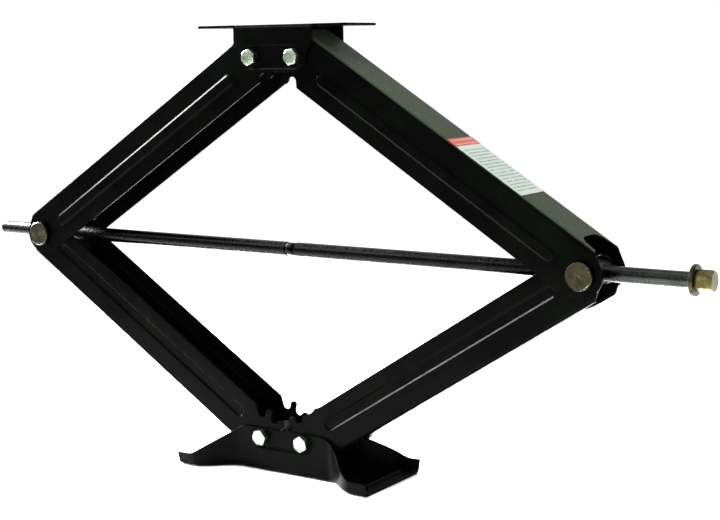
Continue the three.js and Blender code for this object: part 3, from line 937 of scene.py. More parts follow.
@dataclass
class PressedArm:
    """One channel arm, drawn from its bolt pivot at the origin to its trunnion along local +X."""

    side: Side
    level: Level
    half_width: float
    flange_edge: float
    nose_radius: float
    rib_depth: float
    tooth_turn: float
    web_offset: float = 28.0
    sheet: float = 2.5
    web_start: float = -10.0
    tab_foot: float = 12.0
    notch_root: float = ARM_LENGTH - 23.0
    notch_edge: float = 7.0
    notch_radius: float = 12.0
    rib_start: float = 42.0
    rib_end: float = ARM_LENGTH - 40.0
    rib_centre: float = -3.0
    rib_half: float = 6.4
    rib_ramp: float = 2.5
    rib_lip: float = 0.7
    rib_lines: tuple[float, ...] = (-2.2, -1.8, -1.4, -1.0, -0.4, 0.2, 0.6, 0.9)
    gear_teeth: int = 9
    gear_root: float = 21.5
    gear_tip: float = 32.6
    tooth_root_half: float = 4.6
    tooth_pitch_half: float = 4.3
    tooth_tip_radius: float = 3.5

    @property
    def name(self) -> str:
        """Name of the arm's frame node."""
        return f"{self.level.name.lower()}_{self.side.name.lower()}_arm"

    @property
    def body(self) -> str:
        """Name of the body that the arm is."""
        return f"{self.level.name.lower()}_{self.side.name.lower()}"

    @property
    def fold(self) -> ChannelFold:
        """The channel's fold."""
        return ChannelFold(self.half_width, self.web_offset)

    def place(self) -> Matrix:
        """Give the matrix from the arm's drawing place to its rest place in the jack."""
        right, up = self.side.value, self.level.value
        turned_over = Matrix.Diagonal((right, right * up, up, 1.0))
        lean = Matrix.Rotation(right * up * REST_ANGLE, 4, "Y")
        height = TOP_PIVOT_HEIGHT if self.level is Level.UPPER else BASE_PIVOT_HEIGHT
        return Matrix.Translation((right * PIVOT_HALF_SPACING, 0, height)) @ lean @ turned_over

    def in_gear(self, x: np.ndarray, z: np.ndarray) -> np.ndarray:
        """Say which flange points near the pivot are steel: hub, teeth or flange, less the slots."""
        pitch = 2 * math.pi / self.gear_teeth
        first = math.pi + REST_ANGLE + math.radians(self.tooth_turn)
        start = np.where(z > self.tab_foot, self.web_start, 0.0)
        steel = (x >= start) & (z <= self.web_offset - 4.0) & (z >= self.flange_edge)
        steel |= np.hypot(x, z) < self.gear_root
        taper = (self.tooth_pitch_half - self.tooth_root_half) / (PIVOT_HALF_SPACING - self.gear_root)
        tip_centre = self.gear_tip - self.tooth_tip_radius
        slot_half = PIVOT_HALF_SPACING * math.sin(math.pi / self.gear_teeth) - self.tooth_pitch_half
        slot_centre = self.gear_root + slot_half
        for k in range(3):
            turn = first + k * pitch
            out, side = x * math.cos(turn) + z * math.sin(turn), -x * math.sin(turn) + z * math.cos(turn)
            half = self.tooth_root_half + taper * (np.minimum(out, tip_centre) - self.gear_root)
            rounding = np.clip((out - tip_centre) / self.tooth_tip_radius, 0, 1)
            steel |= (out > 10) & (out < self.gear_tip) & (np.abs(side) < half * np.sqrt(1 - rounding**2))
        for k in range(3):
            turn = first + (k + 0.5) * pitch
            out, side = x * math.cos(turn) + z * math.sin(turn), -x * math.sin(turn) + z * math.cos(turn)
            straight = (out > slot_centre) & (np.abs(side) < slot_half)
            steel &= ~(straight | (np.hypot(out - slot_centre, side) < slot_half))
        return steel

    def gear_end(self) -> Profile:
        """Trace the toothed end of the flange, from above the pivot round to the free edge."""
        lift = self.web_offset - 4.0
        first = math.degrees(math.atan2(lift, self.web_start))
        turns = np.radians(np.arange(first + 0.5, 324.0, 1.0))
        radii = np.arange(14.0, 50.0, 0.04)
        x = radii[None, :] * np.cos(turns)[:, None]
        z = radii[None, :] * np.sin(turns)[:, None]
        reach = radii[np.argmin(self.in_gear(x, z), axis=1)]
        line = [(float(r * math.cos(t)), float(r * math.sin(t))) for r, t in zip(reach, turns)]
        return thinned([(self.web_start, lift), *line], 0.1)

    def blank(self) -> PressedSheet:
        """Draw the arm's flat blank with its holes, bends and ribs."""
        fold = self.fold
        tip = ARM_LENGTH - 2.5
        nose = arc(ARM_LENGTH, 0.0, self.nose_radius, -55.0, 48.0, 22)
        top_x, top_z = nose[-1]
        lift = self.web_offset - fold.radius
        cross = top_x + (tip - top_x) * (lift - top_z) / (self.web_offset - top_z)
        flange = [*self.gear_end(), (ARM_LENGTH - 3.0, self.flange_edge), *nose, (cross, lift)]
        low_side = [(x, -fold.across(z)) for x, z in flange]

        notch_half = self.half_width - self.notch_edge
        root = self.notch_root + self.notch_radius
        corner = arc(root, -(notch_half - self.notch_radius), self.notch_radius, 270.0, 180.0, 10)
        web_end = [(tip, -fold.flat_half), (tip, -notch_half - 1.2), *corner]
        low_side += web_end
        outer = low_side + [(u, -v) for u, v in reversed(low_side)]

        lines = fold.bend_lines(self.web_start, cross + 6.0)
        holes = []
        for side in (-1, 1):
            for x, radius, steps in ((0.0, BOLT_HOLE_RADIUS, 28), (ARM_LENGTH, TRUNNION_HOLE_RADIUS, 56)):
                ring = arc(x, 0.0, radius, 0.0, 360.0, steps)[:-1]
                holes.append([(u, side * fold.across(v)) for u, v in ring])
            for offset in self.rib_lines:
                half = self.rib_half + offset
                loop = arc(self.rib_end, self.rib_centre, half, -90, 90, 14)
                loop += arc(self.rib_start, self.rib_centre, half, 90, 270, 14)
                loop.append(loop[0])
                lines.append([(u, side * fold.across(v)) for u, v in loop])
        return PressedSheet(outer, holes, lines, self.sheet, fold, self.press, self.place())

    def press(self, flat: np.ndarray) -> tuple[np.ndarray, np.ndarray]:
        """Emboss the long rib of each flange.

        Args:
            flat: N blank points.

        Returns:
            The outer and the inner face's height at each point.
        """
        fold = self.fold
        height = self.web_offset - fold.radius - (np.abs(flat[:, 1]) - fold.bend_end)
        spots = np.stack([flat[:, 0], height], axis=1)
        away = segment_distance(
            spots, (self.rib_start, self.rib_centre), (self.rib_end, self.rib_centre)
        )
        ramp = (self.rib_half + self.rib_lip - away) / self.rib_ramp
        lift = self.rib_depth * np.clip(ramp, 0.0, 1.0)
        lift = np.where(np.abs(flat[:, 1]) > fold.bend_end, lift, 0.0)
        return lift, lift

    def make(self) -> bpy.types.Object:
        """Build and dress the arm."""
        # Only the upper right arm's web gets the painted sheen, mixed with dust, on its upward faces.
        dust_and_sheen = self.level is Level.UPPER and self.side is Side.RIGHT
        finish = DUST_AND_SHEEN_ENAMEL if dust_and_sheen else BLACK_ENAMEL
        return settled(self.blank().build(self.name + "_sheet"), finish, self.body, [self.name])


@dataclass
class WarningLabel:
    """A blank-printed film label that lies on the web of the upper right arm."""

    arm: PressedArm
    start: float = 201.0
    length: float = 99.0
    half_width: float = 24.6
    gap: float = 0.06
    thickness: float = 0.25

    def make(self) -> bpy.types.Object:
        """Build the film over the web and the start of its bends."""
        fold = self.arm.fold
        us = np.linspace(0.0, 1.0, 21)
        vs = np.linspace(0.0, 1.0, 25)
        uvs = [(float(u), float(v)) for u in us for v in vs]
        grid = np.array([(self.start + u * self.length, (2 * v - 1) * self.half_width) for u, v in uvs])
        face, normal = fold(grid)
        top = face + normal * (self.gap + self.thickness)
        under = face + normal * self.gap
        place = self.arm.place()
        points = [place @ Vector(p) for p in np.concatenate([under, top])]
        faces = thick_grid_faces(len(us), len(vs))
        piece = make_object("warning_label_film", points, faces, uvs + uvs)
        return settled(piece, LABEL_FILM, self.arm.body, ["warning_label"])


# ---- base pan -----------------------------------------------------------------------------


@dataclass
class BasePan:
    """The pressed pan: a narrow waist with two tall ears, flaring to low open ends."""

    length: float = 256.0
    end_half: float = 58.0
    sheet: float = 3.0
    ear_height: float = 49.0
    lip_height: float = 15.0
    flare: Point2 = (60.0, 108.0)
    slope: Point2 = (57.0, 108.0)
    slope_ease: float = 7.0
    recess_foot: float = 10.4
    recess_lip: float = 13.6
    bend: float = 6.0
    lean: float = 3.0
    bar_x: float = 114.0
    bar_half_length: float = 38.0
    bar_half_width: float = 4.5
    bar_height: float = 3.4
    floor_steps: int = 26
    bend_steps: int = 6
    wall_steps: int = 30

    def stations(self) -> np.ndarray:
        """Give the places along X of the pan's sections, closer where there is detail."""
        half = self.length / 2
        right = [np.arange(0.0, 46.0, 1.25), np.arange(46.0, 105.0, 2.4), np.arange(105.0, 123.0, 0.8)]
        right += [np.array([123.5, 125.0, 126.5, half])]
        steps = np.concatenate(right)
        return np.concatenate([-steps[:0:-1], steps])

    def half_section(self, x: float) -> tuple[np.ndarray, np.ndarray, np.ndarray]:
        """Give the outer face of half a section, from the floor's middle to the wall's top.

        Args:
            x: the section's place.

        Returns:
            Arrays of (y, z), of outward normals (y, z), and of how much each point is wall (0 to 1).
        """
        flare = float(smoothstep(*self.flare, np.array(abs(x))))
        drop = float(eased_ramp(*self.slope, self.slope_ease, abs(x)))
        half = BASE_EAR_HALF + (self.end_half - BASE_EAR_HALF) * flare
        height = self.ear_height - (self.ear_height - self.lip_height) * drop
        lean = self.lean * flare
        foot = half - lean - self.bend
        floor = [(foot * k / self.floor_steps, 0.0) for k in range(self.floor_steps + 1)]
        bend = arc(foot, self.bend, self.bend, -90.0, 0.0, self.bend_steps)[1:]
        rise = np.linspace(0.0, 1.0, self.wall_steps + 1)[1:]
        wall = [(half - lean + lean * t, self.bend + (height - self.bend) * t) for t in rise]
        normals = [(0.0, -1.0)] * len(floor)
        turns = np.radians(np.linspace(-90, 0, self.bend_steps + 1)[1:])
        normals += [(math.cos(a), math.sin(a)) for a in turns]
        normals += [(1.0, 0.0)] * len(wall)
        wallness = [0.0] * len(floor) + [0.0] * self.bend_steps + [1.0] * len(wall)
        return np.array([*floor, *bend, *wall]), np.array(normals), np.array(wallness)

    def recess(self, x: float, section: np.ndarray, wallness: np.ndarray) -> np.ndarray:
        """Depth of the oblong recess round the bolts at each point of a section."""
        spots = np.stack([np.full(len(section), x), section[:, 1]], axis=1)
        return wallness * bolt_recess(spots, BASE_PIVOT_HEIGHT, self.recess_foot, self.recess_lip)

    def bar(self, x: float, section: np.ndarray, wallness: np.ndarray) -> np.ndarray:
        """Height of the raised bars across the floor at each point of a section."""
        spots = np.stack([np.full(len(section), abs(x)), section[:, 0]], axis=1)
        away = segment_distance(spots, (self.bar_x, 0.0), (self.bar_x, self.bar_half_length - 4.0))
        flat = (1.0 - wallness) * (section[:, 1] < 0.5)
        crown, foot = self.bar_half_width - 2.4, self.bar_half_width + 1.4
        return self.bar_height * flat * (1.0 - smoothstep(crown, foot, away))

    def make(self) -> bpy.types.Object:
        """Build and dress the pan."""
        stations = self.stations()
        outer: list[tuple[float, float, float]] = []
        inner: list[tuple[float, float, float]] = []
        for x in stations:
            section, normals, wallness = self.half_section(float(x))
            dent = self.recess(float(x), section, wallness)
            bar = self.bar(float(x), section, wallness)
            out = section - normals * dent[:, None]
            out[:, 1] += bar
            back = section - normals * self.sheet
            back[:, 1] += bar
            for sign, order in ((-1, range(len(section) - 1, 0, -1)), (1, range(len(section)))):
                outer += [(float(x), sign * out[k, 0], out[k, 1]) for k in order]
                inner += [(float(x), sign * back[k, 0], back[k, 1]) for k in order]
        faces = thick_grid_faces(len(stations), len(outer) // len(stations))
        piece = make_object("base_pan_sheet", outer + inner, faces, sharp_degrees=40.0)
        softened(piece, 0.4)
        return settled(piece, BLACK_ENAMEL, "base", ["base_pan"])


# ---- top bracket --------------------------------------------------------------------------


@dataclass
class TopBracket:
    """A flat plate whose long edges fold down, over part of its length, into two ears."""

    half_length: float = 100.0
    corner: float = 5.0
    sheet: float = 2.8
    ear_half: float = 52.0
    shoulder: float = 13.0
    lobe: float = 16.0
    hole_radius: float = 5.5
    relief: float = 1.6
    plate_shift: float = -4.0
    recess_foot: float = 10.6
    recess_lip: float = 14.4

    @property
    def fold(self) -> ChannelFold:
        """The bracket's fold."""
        return ChannelFold(BRACKET_EAR_HALF, TOP_FACE_HEIGHT)

    def bent(self, flat: np.ndarray) -> tuple[np.ndarray, np.ndarray]:
        """Fold the ears and leave the plate's two ends flat.

        Args:
            flat: N blank points.

        Returns:
            N points on the outer face and their outward normals.
        """
        points, normals = self.fold(flat)
        straight = np.abs(flat[:, 0]) > self.ear_half + self.relief / 2
        level = np.stack([flat[:, 0], flat[:, 1], np.full(len(flat), TOP_FACE_HEIGHT)], axis=1)
        up = np.tile(np.array([0.0, 0.0, 1.0]), (len(flat), 1))
        return np.where(straight[:, None], level, points), np.where(straight[:, None], up, normals)

    def press(self, flat: np.ndarray) -> tuple[np.ndarray, np.ndarray]:
        """Sink the oblong recess round the bolts into the ears' outer face."""
        height = TOP_FACE_HEIGHT - self.fold.radius - (np.abs(flat[:, 1]) - self.fold.bend_end)
        spots = np.stack([flat[:, 0], height], axis=1)
        dent = -bolt_recess(spots, TOP_PIVOT_HEIGHT, self.recess_foot, self.recess_lip)
        dent = np.where(np.abs(flat[:, 1]) > self.fold.bend_end, dent, 0.0)
        return dent, np.zeros(len(flat))

    def make(self) -> bpy.types.Object:
        """Build and dress the bracket."""
        fold = self.fold
        shoulder = TOP_PIVOT_HEIGHT + self.shoulder
        ear = [(-self.ear_half, shoulder), (-PIVOT_HALF_SPACING - self.lobe + 0.6, shoulder - 9.0)]
        ear += arc(-PIVOT_HALF_SPACING, TOP_PIVOT_HEIGHT, self.lobe, 171.0, 270.0, 14)
        ear += arc(PIVOT_HALF_SPACING, TOP_PIVOT_HEIGHT, self.lobe, 270.0, 369.0, 14)
        ear.append((self.ear_half, shoulder))
        side = BRACKET_EAR_HALF
        slot = self.ear_half + self.relief
        throat = fold.flat_half - 1.0
        left, right = -self.half_length + self.plate_shift, self.half_length + self.plate_shift
        low = arc(left + self.corner, -side + self.corner, self.corner, 180.0, 270.0, 6)
        low += [(-slot, -side), (-slot, -throat), (-self.ear_half, -throat)]
        low += [(x, -fold.across(z)) for x, z in ear]
        low += [(self.ear_half, -throat), (slot, -throat), (slot, -side)]
        low += arc(right - self.corner, -side + self.corner, self.corner, 270.0, 360.0, 6)
        outer = low + [(u, -v) for u, v in reversed(low)]
        holes = [
            arc(x + self.plate_shift, y, self.hole_radius, 0.0, 360.0, 28)[:-1]
            for x in (-80.0, 80.0)
            for y in (-14.0, 14.0)
        ]
        lines = fold.bend_lines(-self.ear_half, self.ear_half)
        for sign in (-1, 1):
            for x in (-PIVOT_HALF_SPACING, PIVOT_HALF_SPACING):
                ring = arc(x, TOP_PIVOT_HEIGHT, BOLT_HOLE_RADIUS, 0.0, 360.0, 24)[:-1]
                holes.append([(u, sign * fold.across(v)) for u, v in ring])
            for radius in np.linspace(10.3, 14.7, 9):
                loop = arc(PIVOT_HALF_SPACING, TOP_PIVOT_HEIGHT, float(radius), -90, 90, 18)
                loop += arc(-PIVOT_HALF_SPACING, TOP_PIVOT_HEIGHT, float(radius), 90, 270, 18)
                loop.append(loop[0])
                lines.append([(u, sign * fold.across(v)) for u, v in loop])
        sheet = PressedSheet(outer, holes, lines, self.sheet, self.bent, self.press, Matrix.Identity(4))
        piece = sheet.build("top_bracket_sheet")
        return settled(piece, BLACK_ENAMEL, "bracket", ["top_bracket"])


# ---- threads, made by a node tree ------------------------------------------------------------


@dataclass
class HelicalThread:
    """A thread ridge swept along a helix by Geometry Nodes, standing along local +Z.

    Attributes:
        pitch: advance for each turn.
        root: radius at the bottom of the thread.
        crest: radius at its top.
        steps: points on each turn.
    """

    pitch: float
    root: float
    crest: float
    steps: int = 26

    def tree(self) -> bpy.types.NodeTree:
        """Return the shared node tree, built on first use."""
        found = bpy.data.node_groups.get("rolled_thread")
        if found is not None:
            return found
        tree = bpy.data.node_groups.new("rolled_thread", "GeometryNodeTree")
        tree.interface.new_socket("Geometry", in_out="OUTPUT", socket_type="NodeSocketGeometry")
        kinds = {
            "Float": ("Length", "Turns", "Radius", "Foot width", "Crest width", "Depth", "Ridge turn"),
            "Int": ("Steps",),
            "Bool": ("Left hand",),
            "Material": ("Finish",),
        }
        for kind, labels in kinds.items():
            for label in labels:
                tree.interface.new_socket(label, in_out="INPUT", socket_type="NodeSocket" + kind)
        given = add_node(tree, "NodeGroupInput").outputs
        helix = add_node(
            tree,
            "GeometryNodeCurveSpiral",
            inputs={
                "Resolution": given["Steps"],
                "Rotations": given["Turns"],
                "Start Radius": given["Radius"],
                "End Radius": given["Radius"],
                "Height": given["Length"],
                "Reverse": given["Left hand"],
            },
        )
        upright = add_node(
            tree, "GeometryNodeSetCurveNormal", {"mode": "Z_UP"}, {"Curve": helix.outputs["Curve"]}
        )
        ridge = add_node(
            tree,
            "GeometryNodeCurvePrimitiveQuadrilateral",
            {"mode": "TRAPEZOID"},
            {
                "Bottom Width": given["Foot width"],
                "Top Width": given["Crest width"],
                "Height": given["Depth"],
                "Offset": 0.0,
            },
        )
        turn = add_node(tree, "ShaderNodeCombineXYZ", inputs={"Z": given["Ridge turn"]})
        outward = add_node(
            tree,
            "GeometryNodeTransform",
            inputs={"Geometry": ridge.outputs["Curve"], "Rotation": turn.outputs[0]},
        )
        swept = add_node(
            tree,
            "GeometryNodeCurveToMesh",
            inputs={
                "Curve": upright.outputs["Curve"],
                "Profile Curve": outward.outputs["Geometry"],
                "Fill Caps": True,
            },
        )
        real = add_node(tree, "GeometryNodeRealizeInstances", inputs={"Geometry": swept.outputs["Mesh"]})
        dressed = add_node(
            tree,
            "GeometryNodeSetMaterial",
            inputs={"Geometry": real.outputs["Geometry"], "Material": given["Finish"]},
        )
        add_node(tree, "NodeGroupOutput", inputs={"Geometry": dressed.outputs["Geometry"]})
        return tree

    def make(
        self, name: str, length: float, left_hand: bool, finish: Finish, place: Matrix
    ) -> bpy.types.Object:
        """Sweep one run of thread.

        Args:
            name: the run's name.
            length: its length.
            left_hand: True for a left-hand thread.
            finish: what it wears.
            place: local millimetres to the row frame's millimetres.

        Returns:
            A plain mesh object.
        """
        carrier = bpy.data.objects.new(name, bpy.data.meshes.new(name))
        bpy.context.scene.collection.objects.link(carrier)
        modifier = carrier.modifiers.new("rolled_thread", "NODES")
        modifier.node_group = self.tree()
        depth = self.crest - self.root
        values = {
            "Length": length * MM,
            "Turns": length / self.pitch,
            "Steps": self.steps,
            "Radius": (self.root + depth / 2) * MM,
            "Foot width": self.pitch * 0.94 * MM,
            "Crest width": self.pitch * 0.2 * MM,
            "Depth": depth * MM,
            "Left hand": left_hand,
            "Ridge turn": math.pi / 2 if left_hand else -math.pi / 2,
            "Finish": finish.material(),
        }
        sockets = {
            item.name: item.identifier
            for item in self.tree().interface.items_tree
            if item.item_type == "SOCKET" and item.in_out == "INPUT"
        }
        for label, value in values.items():
            modifier[sockets[label]] = value
        baked(carrier)
        millimetres = Matrix.Scale(MM, 4) @ place @ Matrix.Scale(1 / MM, 4)
        carrier.data.transform(millimetres)
        closed_shell(carrier, 50.0)
        return carrier


# ---- hexagons -----------------------------------------------------------------------------


@dataclass
class Hexagon:
    """A chamfered hexagonal prism, standing on local +Z.

    Attributes:
        flats: width across flats.
        height: full height.
        chamfer: slope of the corner chamfer in degrees.
        bore: radius of a hole from its foot, or 0.
        bore_depth: how deep that hole is; the full height goes right through.
        foot_chamfer: True to take the corners off the foot as well.
        turn: angle of the first corner in degrees.
    """

    flats: float
    height: float
    chamfer: float = 30.0
    bore: float = 0.0
    bore_depth: float = 0.0
    foot_chamfer: bool = False
    turn: float = 0.0
    steps: int = 72

    def ring(self, inset: float, height: float, sink: float) -> list[tuple[float, float, float]]:
        """Give points round the hexagon.

        Args:
            inset: 0 follows the hexagon; above 0 gives a circle of that radius.
            height: the ring's height.
            sink: 1 or -1 drops or lifts the corners along the chamfer, 0 leaves them.

        Returns:
            One point for each step.
        """
        points = []
        circle = self.flats / 2 * 0.955
        slope = math.tan(math.radians(self.chamfer))
        for k in range(self.steps):
            angle = 2 * math.pi * k / self.steps
            from_flat = (math.degrees(angle) - self.turn) % 60.0 - 30.0
            edge = self.flats / 2 / math.cos(math.radians(from_flat))
            radius = inset if inset > 0 else edge
            drop = sink * (edge - circle) * slope
            points.append((radius * math.cos(angle), radius * math.sin(angle), height - drop))
        return points

    def make(self, name: str, place: Matrix, face_sink: float = 0.0) -> bpy.types.Object:
        """Build the hexagon.

        Args:
            name: the object's name.
            place: local millimetres to the row frame's millimetres.
            face_sink: depth of a shallow dish in the top face.

        Returns:
            A closed mesh object.
        """
        circle = self.flats / 2 * 0.955
        rings = []
        if self.bore > 0:
            rings.append(self.ring(self.bore, min(self.bore_depth, self.height), 0.0))
            rings.append(self.ring(self.bore, 0.0, 0.0))
        if self.foot_chamfer:
            rings.append(self.ring(circle, 0.0, 0.0))
            rings.append(self.ring(0.0, 0.0, -1.0))
        else:
            rings.append(self.ring(0.0, 0.0, 0.0))
        rings.append(self.ring(0.0, self.height, 1.0))
        rings.append(self.ring(circle, self.height, 0.0))
        if face_sink > 0:
            rings.append(self.ring(circle - 0.8, self.height - face_sink, 0.0))
        points = [p for ring in rings for p in ring]
        faces: list[tuple[int, ...]] = []
        for low in range(len(rings) - 1):
            for k in range(self.steps):
                a, b = low * self.steps + k, low * self.steps + (k + 1) % self.steps
                faces.append((a, b, b + self.steps, a + self.steps))
        top = (len(rings) - 1) * self.steps
        through = self.bore > 0 and self.bore_depth >= self.height
        if through:
            for k in range(self.steps):
                a, b = (k + 1) % self.steps, k
                faces.append((top + b, top + (b + 1) % self.steps, a, b))
        else:
            faces.append(tuple(top + k for k in range(self.steps)))
            faces.append(tuple(reversed(range(self.steps))))
        piece = make_object(name, [place @ Vector(p) for p in points], faces)
        closed_shell(piece, 24.0)
        return piece


# ---- bolted pivots ------------------------------------------------------------------------


@dataclass
class BoltedPivot:
    """A hex bolt through both ears, with a washer, a lock nut and a spacer sleeve."""

    name: str
    body: str
    x: float
    z: float
    ear_half: float
    sleeve_half: float
    head_turn: float
    flats: float = 16.0
    gap: float = 0.3
    washer_thickness: float = 2.0
    nut_height: float = 8.0

    def make(self) -> list[bpy.types.Object]:
        """Build and dress the four pieces."""
        seat = self.ear_half + self.gap
        nut_face = seat + self.washer_thickness + self.gap
        end = nut_face + self.nut_height + 3.0
        head_place = axis_place(self.x, -self.ear_half + EAR_RECESS - 0.05, self.z, "-Y")
        head_height = seat + 6.4 - (self.ear_half - EAR_RECESS + 0.05)
        foot = turned(
            "bolt_foot", [(0, 0), (7.6, 0), (7.8, 0.3), (7.8, 1.0), (0, 1.0)], 48, head_place
        )
        raised = head_place @ Matrix.Translation((0, 0, 0.9))
        head = Hexagon(self.flats, head_height - 0.9, turn=self.head_turn).make("bolt_head", raised, 0.25)
        rod_place = axis_place(self.x, 0.0, self.z, "+Y")
        thread_from = nut_face - 6.0
        rod = turned(
            "bolt_shank",
            [
                (0, -seat), (4.95, -seat), (4.95, thread_from), (4.1, thread_from + 0.8),
                (4.1, end - 0.8), (3.3, end), (0, end),
            ],
            32,
            rod_place,
        )
        thread = HelicalThread(pitch=1.5, root=4.0, crest=5.0, steps=24).make(
            "bolt_thread", end - 1.2 - thread_from, False, BRIGHT_ZINC,
            rod_place @ Matrix.Translation((0, 0, thread_from)),
        )
        bolt = combined(f"{self.name}_hex_bolt", [head, foot, rod, thread])
        settled(bolt, BRIGHT_ZINC, self.body, [f"{self.name}_pivot_bolt"])

        bore, back = BOLT_HOLE_RADIUS, seat + self.washer_thickness
        washer = turned(
            f"{self.name}_flat_washer",
            [
                (bore, seat), (9.7, seat), (10, seat + 0.3),
                (10, back - 0.3), (9.7, back), (bore, back), (bore, seat),
            ],
            48,
            rod_place,
        )
        settled(washer, BRIGHT_ZINC, self.body, [f"{self.name}_bolt_washer"])

        nut_place = rod_place @ Matrix.Translation((0, 0, nut_face))
        turn = self.head_turn + 17
        body = Hexagon(self.flats, 6.2, bore=5.2, bore_depth=6.2, foot_chamfer=True, turn=turn)
        collar = turned(
            "nut_collar",
            [(5.2, 5.6), (7.5, 5.6), (7.5, 7.2), (7.2, 7.8), (6.7, 8.0), (6.0, 7.8), (5.3, 7.3), (5.2, 5.6)],
            48,
            nut_place,
        )
        nut = combined(f"{self.name}_collar_nut", [body.make("nut_body", nut_place), collar])
        settled(nut, BRIGHT_ZINC, self.body, [f"{self.name}_lock_nut"])

        half = self.sleeve_half
        sleeve = turned(
            f"{self.name}_tube_sleeve",
            [
                (bore, -half), (8.2, -half), (8.5, -half + 0.3),
                (8.5, half - 0.3), (8.2, half), (bore, half), (bore, -half),
            ],
            40,
            rod_place,
        )
        settled(sleeve, PLAIN_STEEL, self.body, [f"{self.name}_spacer_sleeve"])
        return [bolt, washer, nut, sleeve]


# ---- trunnions, screw and drive end ---------------------------------------------------------


@dataclass
class TrunnionNut:
    """A turned bar across the arms, cross-bored for the screw, with a chamfered bright rim."""

    side: Side
    radius: float = 14.3
    half_length: float = 34.0
    chamfer: float = 0.9
    bore: float = 8.4

    def profile(self) -> Profile:
        """Draw the bar from one centre mark to the other."""
        r, c, h = self.radius, self.chamfer, self.half_length
        end = [(0.0, h - 1.6), (1.5, h - 0.35), (2.1, h - 0.3), (r - c - 0.5, h - 0.3)]
        end += [(r - c - 0.2, h), (r - c, h), (r - 0.15, h - c + 0.15), (r, h - c - 0.2)]
        body = [(r, h - 6.0)]
        top = end + body
        return [(radius, -height) for radius, height in top] + top[::-1]

    def make(self) -> bpy.types.Object:
        """Turn the bar and bore it."""
        name = f"{self.side.name.lower()}_trunnion"
        place = axis_place(self.side.value * TRUNNION_X, 0.0, SCREW_HEIGHT, "+Y")
        bar = turned(f"{name}_bar", self.profile(), 96, place)
        across = axis_place(self.side.value * TRUNNION_X, 0.0, SCREW_HEIGHT, "+X")
        drill = turned("cross_drill", [(0, -25), (self.bore, -25), (self.bore, 25), (0, 25)], 48, across)
        cut = bar.modifiers.new("cross_bore", "BOOLEAN")
        cut.operation = "DIFFERENCE"
        cut.solver = "EXACT"
        cut.object = drill
        baked(bar)
        bpy.data.objects.remove(drill)
        bar.data.set_sharp_from_angle(angle=math.radians(30))
        body = f"{self.side.name.lower()}_nut"
        return settled(bar, TURNED_ZINC, body, [name])


@dataclass
class DriveScrew:
    """The long rod: left-hand thread on its left half, right-hand on its right, plain in between."""

    left_end: float = -455.5
    thread_stop: float = 464.3
    rod_end: float = 480.0
    pitch: float = 2.31
    root: float = 6.65
    crest: float = 8.0
    plain_half: float = 7.0

    def make(self) -> bpy.types.Object:
        """Build the core and both threads as one piece."""
        axis = axis_place(0.0, 0.0, SCREW_HEIGHT, "+X")
        core = turned(
            "screw_core",
            [
                (0, self.left_end), (5.9, self.left_end), (self.root + 0.1, self.left_end + 1.2),
                (self.root + 0.1, -self.plain_half - 1.0), (7.3, -self.plain_half),
                (7.3, self.plain_half), (self.root + 0.1, self.plain_half + 1.0),
                (self.root + 0.1, self.thread_stop), (7.9, self.thread_stop + 0.2),
                (7.9, self.rod_end), (0, self.rod_end),
            ],
            48,
            axis,
        )
        thread = HelicalThread(self.pitch, self.root, self.crest)
        left_start = self.left_end + 2.2
        left = thread.make(
            "left_thread", -self.plain_half - left_start, True, OILED_THREAD,
            axis @ Matrix.Translation((0, 0, left_start)),
        )
        right = thread.make(
            "right_thread", self.thread_stop - 1.2 - self.plain_half, False, OILED_THREAD,
            axis @ Matrix.Translation((0, 0, self.plain_half)),
        )
        rod = combined("drive_screw_rod", [core, left, right])
        return settled(rod, OILED_THREAD, "screw", ["drive_screw"])


@dataclass
class DriveEnd:
    """The yellow zinc hex and the loose thrust washer behind it."""

    washer_face: float = 464.6
    washer_radius: float = 15.5
    washer_thickness: float = 4.0
    hex_length: float = 16.7
    hex_flats: float = 19.05

    def make(self) -> list[bpy.types.Object]:
        """Build both pieces."""
        axis = axis_place(0.0, 0.0, SCREW_HEIGHT, "+X")
        r, low = self.washer_radius, self.washer_face
        high = low + self.washer_thickness
        washer = turned(
            "thrust_washer_disc",
            [
                (8.4, low), (r - 0.5, low), (r, low + 0.5), (r, high - 0.9),
                (r - 0.9, high), (8.4, high), (8.4, low),
            ],
            72,
            axis,
        )
        settled(washer, TURNED_ZINC, "washer", ["thrust_washer"])
        start = high + 0.3
        hexagon = Hexagon(self.hex_flats, self.hex_length, chamfer=38.0, bore=8.3, bore_depth=12.0)
        head = hexagon.make("drive_hex_head", axis @ Matrix.Translation((0, 0, start)), 0.3)
        softened(head, 0.35)
        settled(head, YELLOW_ZINC, "screw", ["drive_hex"])
        return [washer, head]


# ---- studio -------------------------------------------------------------------------------


@dataclass
class Softbox:
    """A large plain area light.

    Attributes:
        name: its name.
        place: its position in metres.
        target: the point that it faces.
        size: width and height in metres.
        power: watts.
        spread: the beam's full angle in degrees, as a grid on the front would narrow it.
    """

    name: str
    place: tuple[float, float, float]
    target: tuple[float, float, float]
    size: tuple[float, float]
    power: float
    spread: float = 180.0

    def make(self) -> bpy.types.Object:
        """Hang the light."""
        lamp = bpy.data.lights.new(self.name, "AREA")
        lamp.shape = "RECTANGLE"
        lamp.size, lamp.size_y = self.size
        lamp.energy = self.power
        lamp.spread = math.radians(self.spread)
        light = bpy.data.objects.new(self.name, lamp)
        light.location = self.place
        toward = Vector(self.target) - Vector(self.place)
        light.rotation_euler = toward.to_track_quat("-Z", "Y").to_euler()
        light.visible_camera = False
        bpy.context.scene.collection.objects.link(light)
        return light


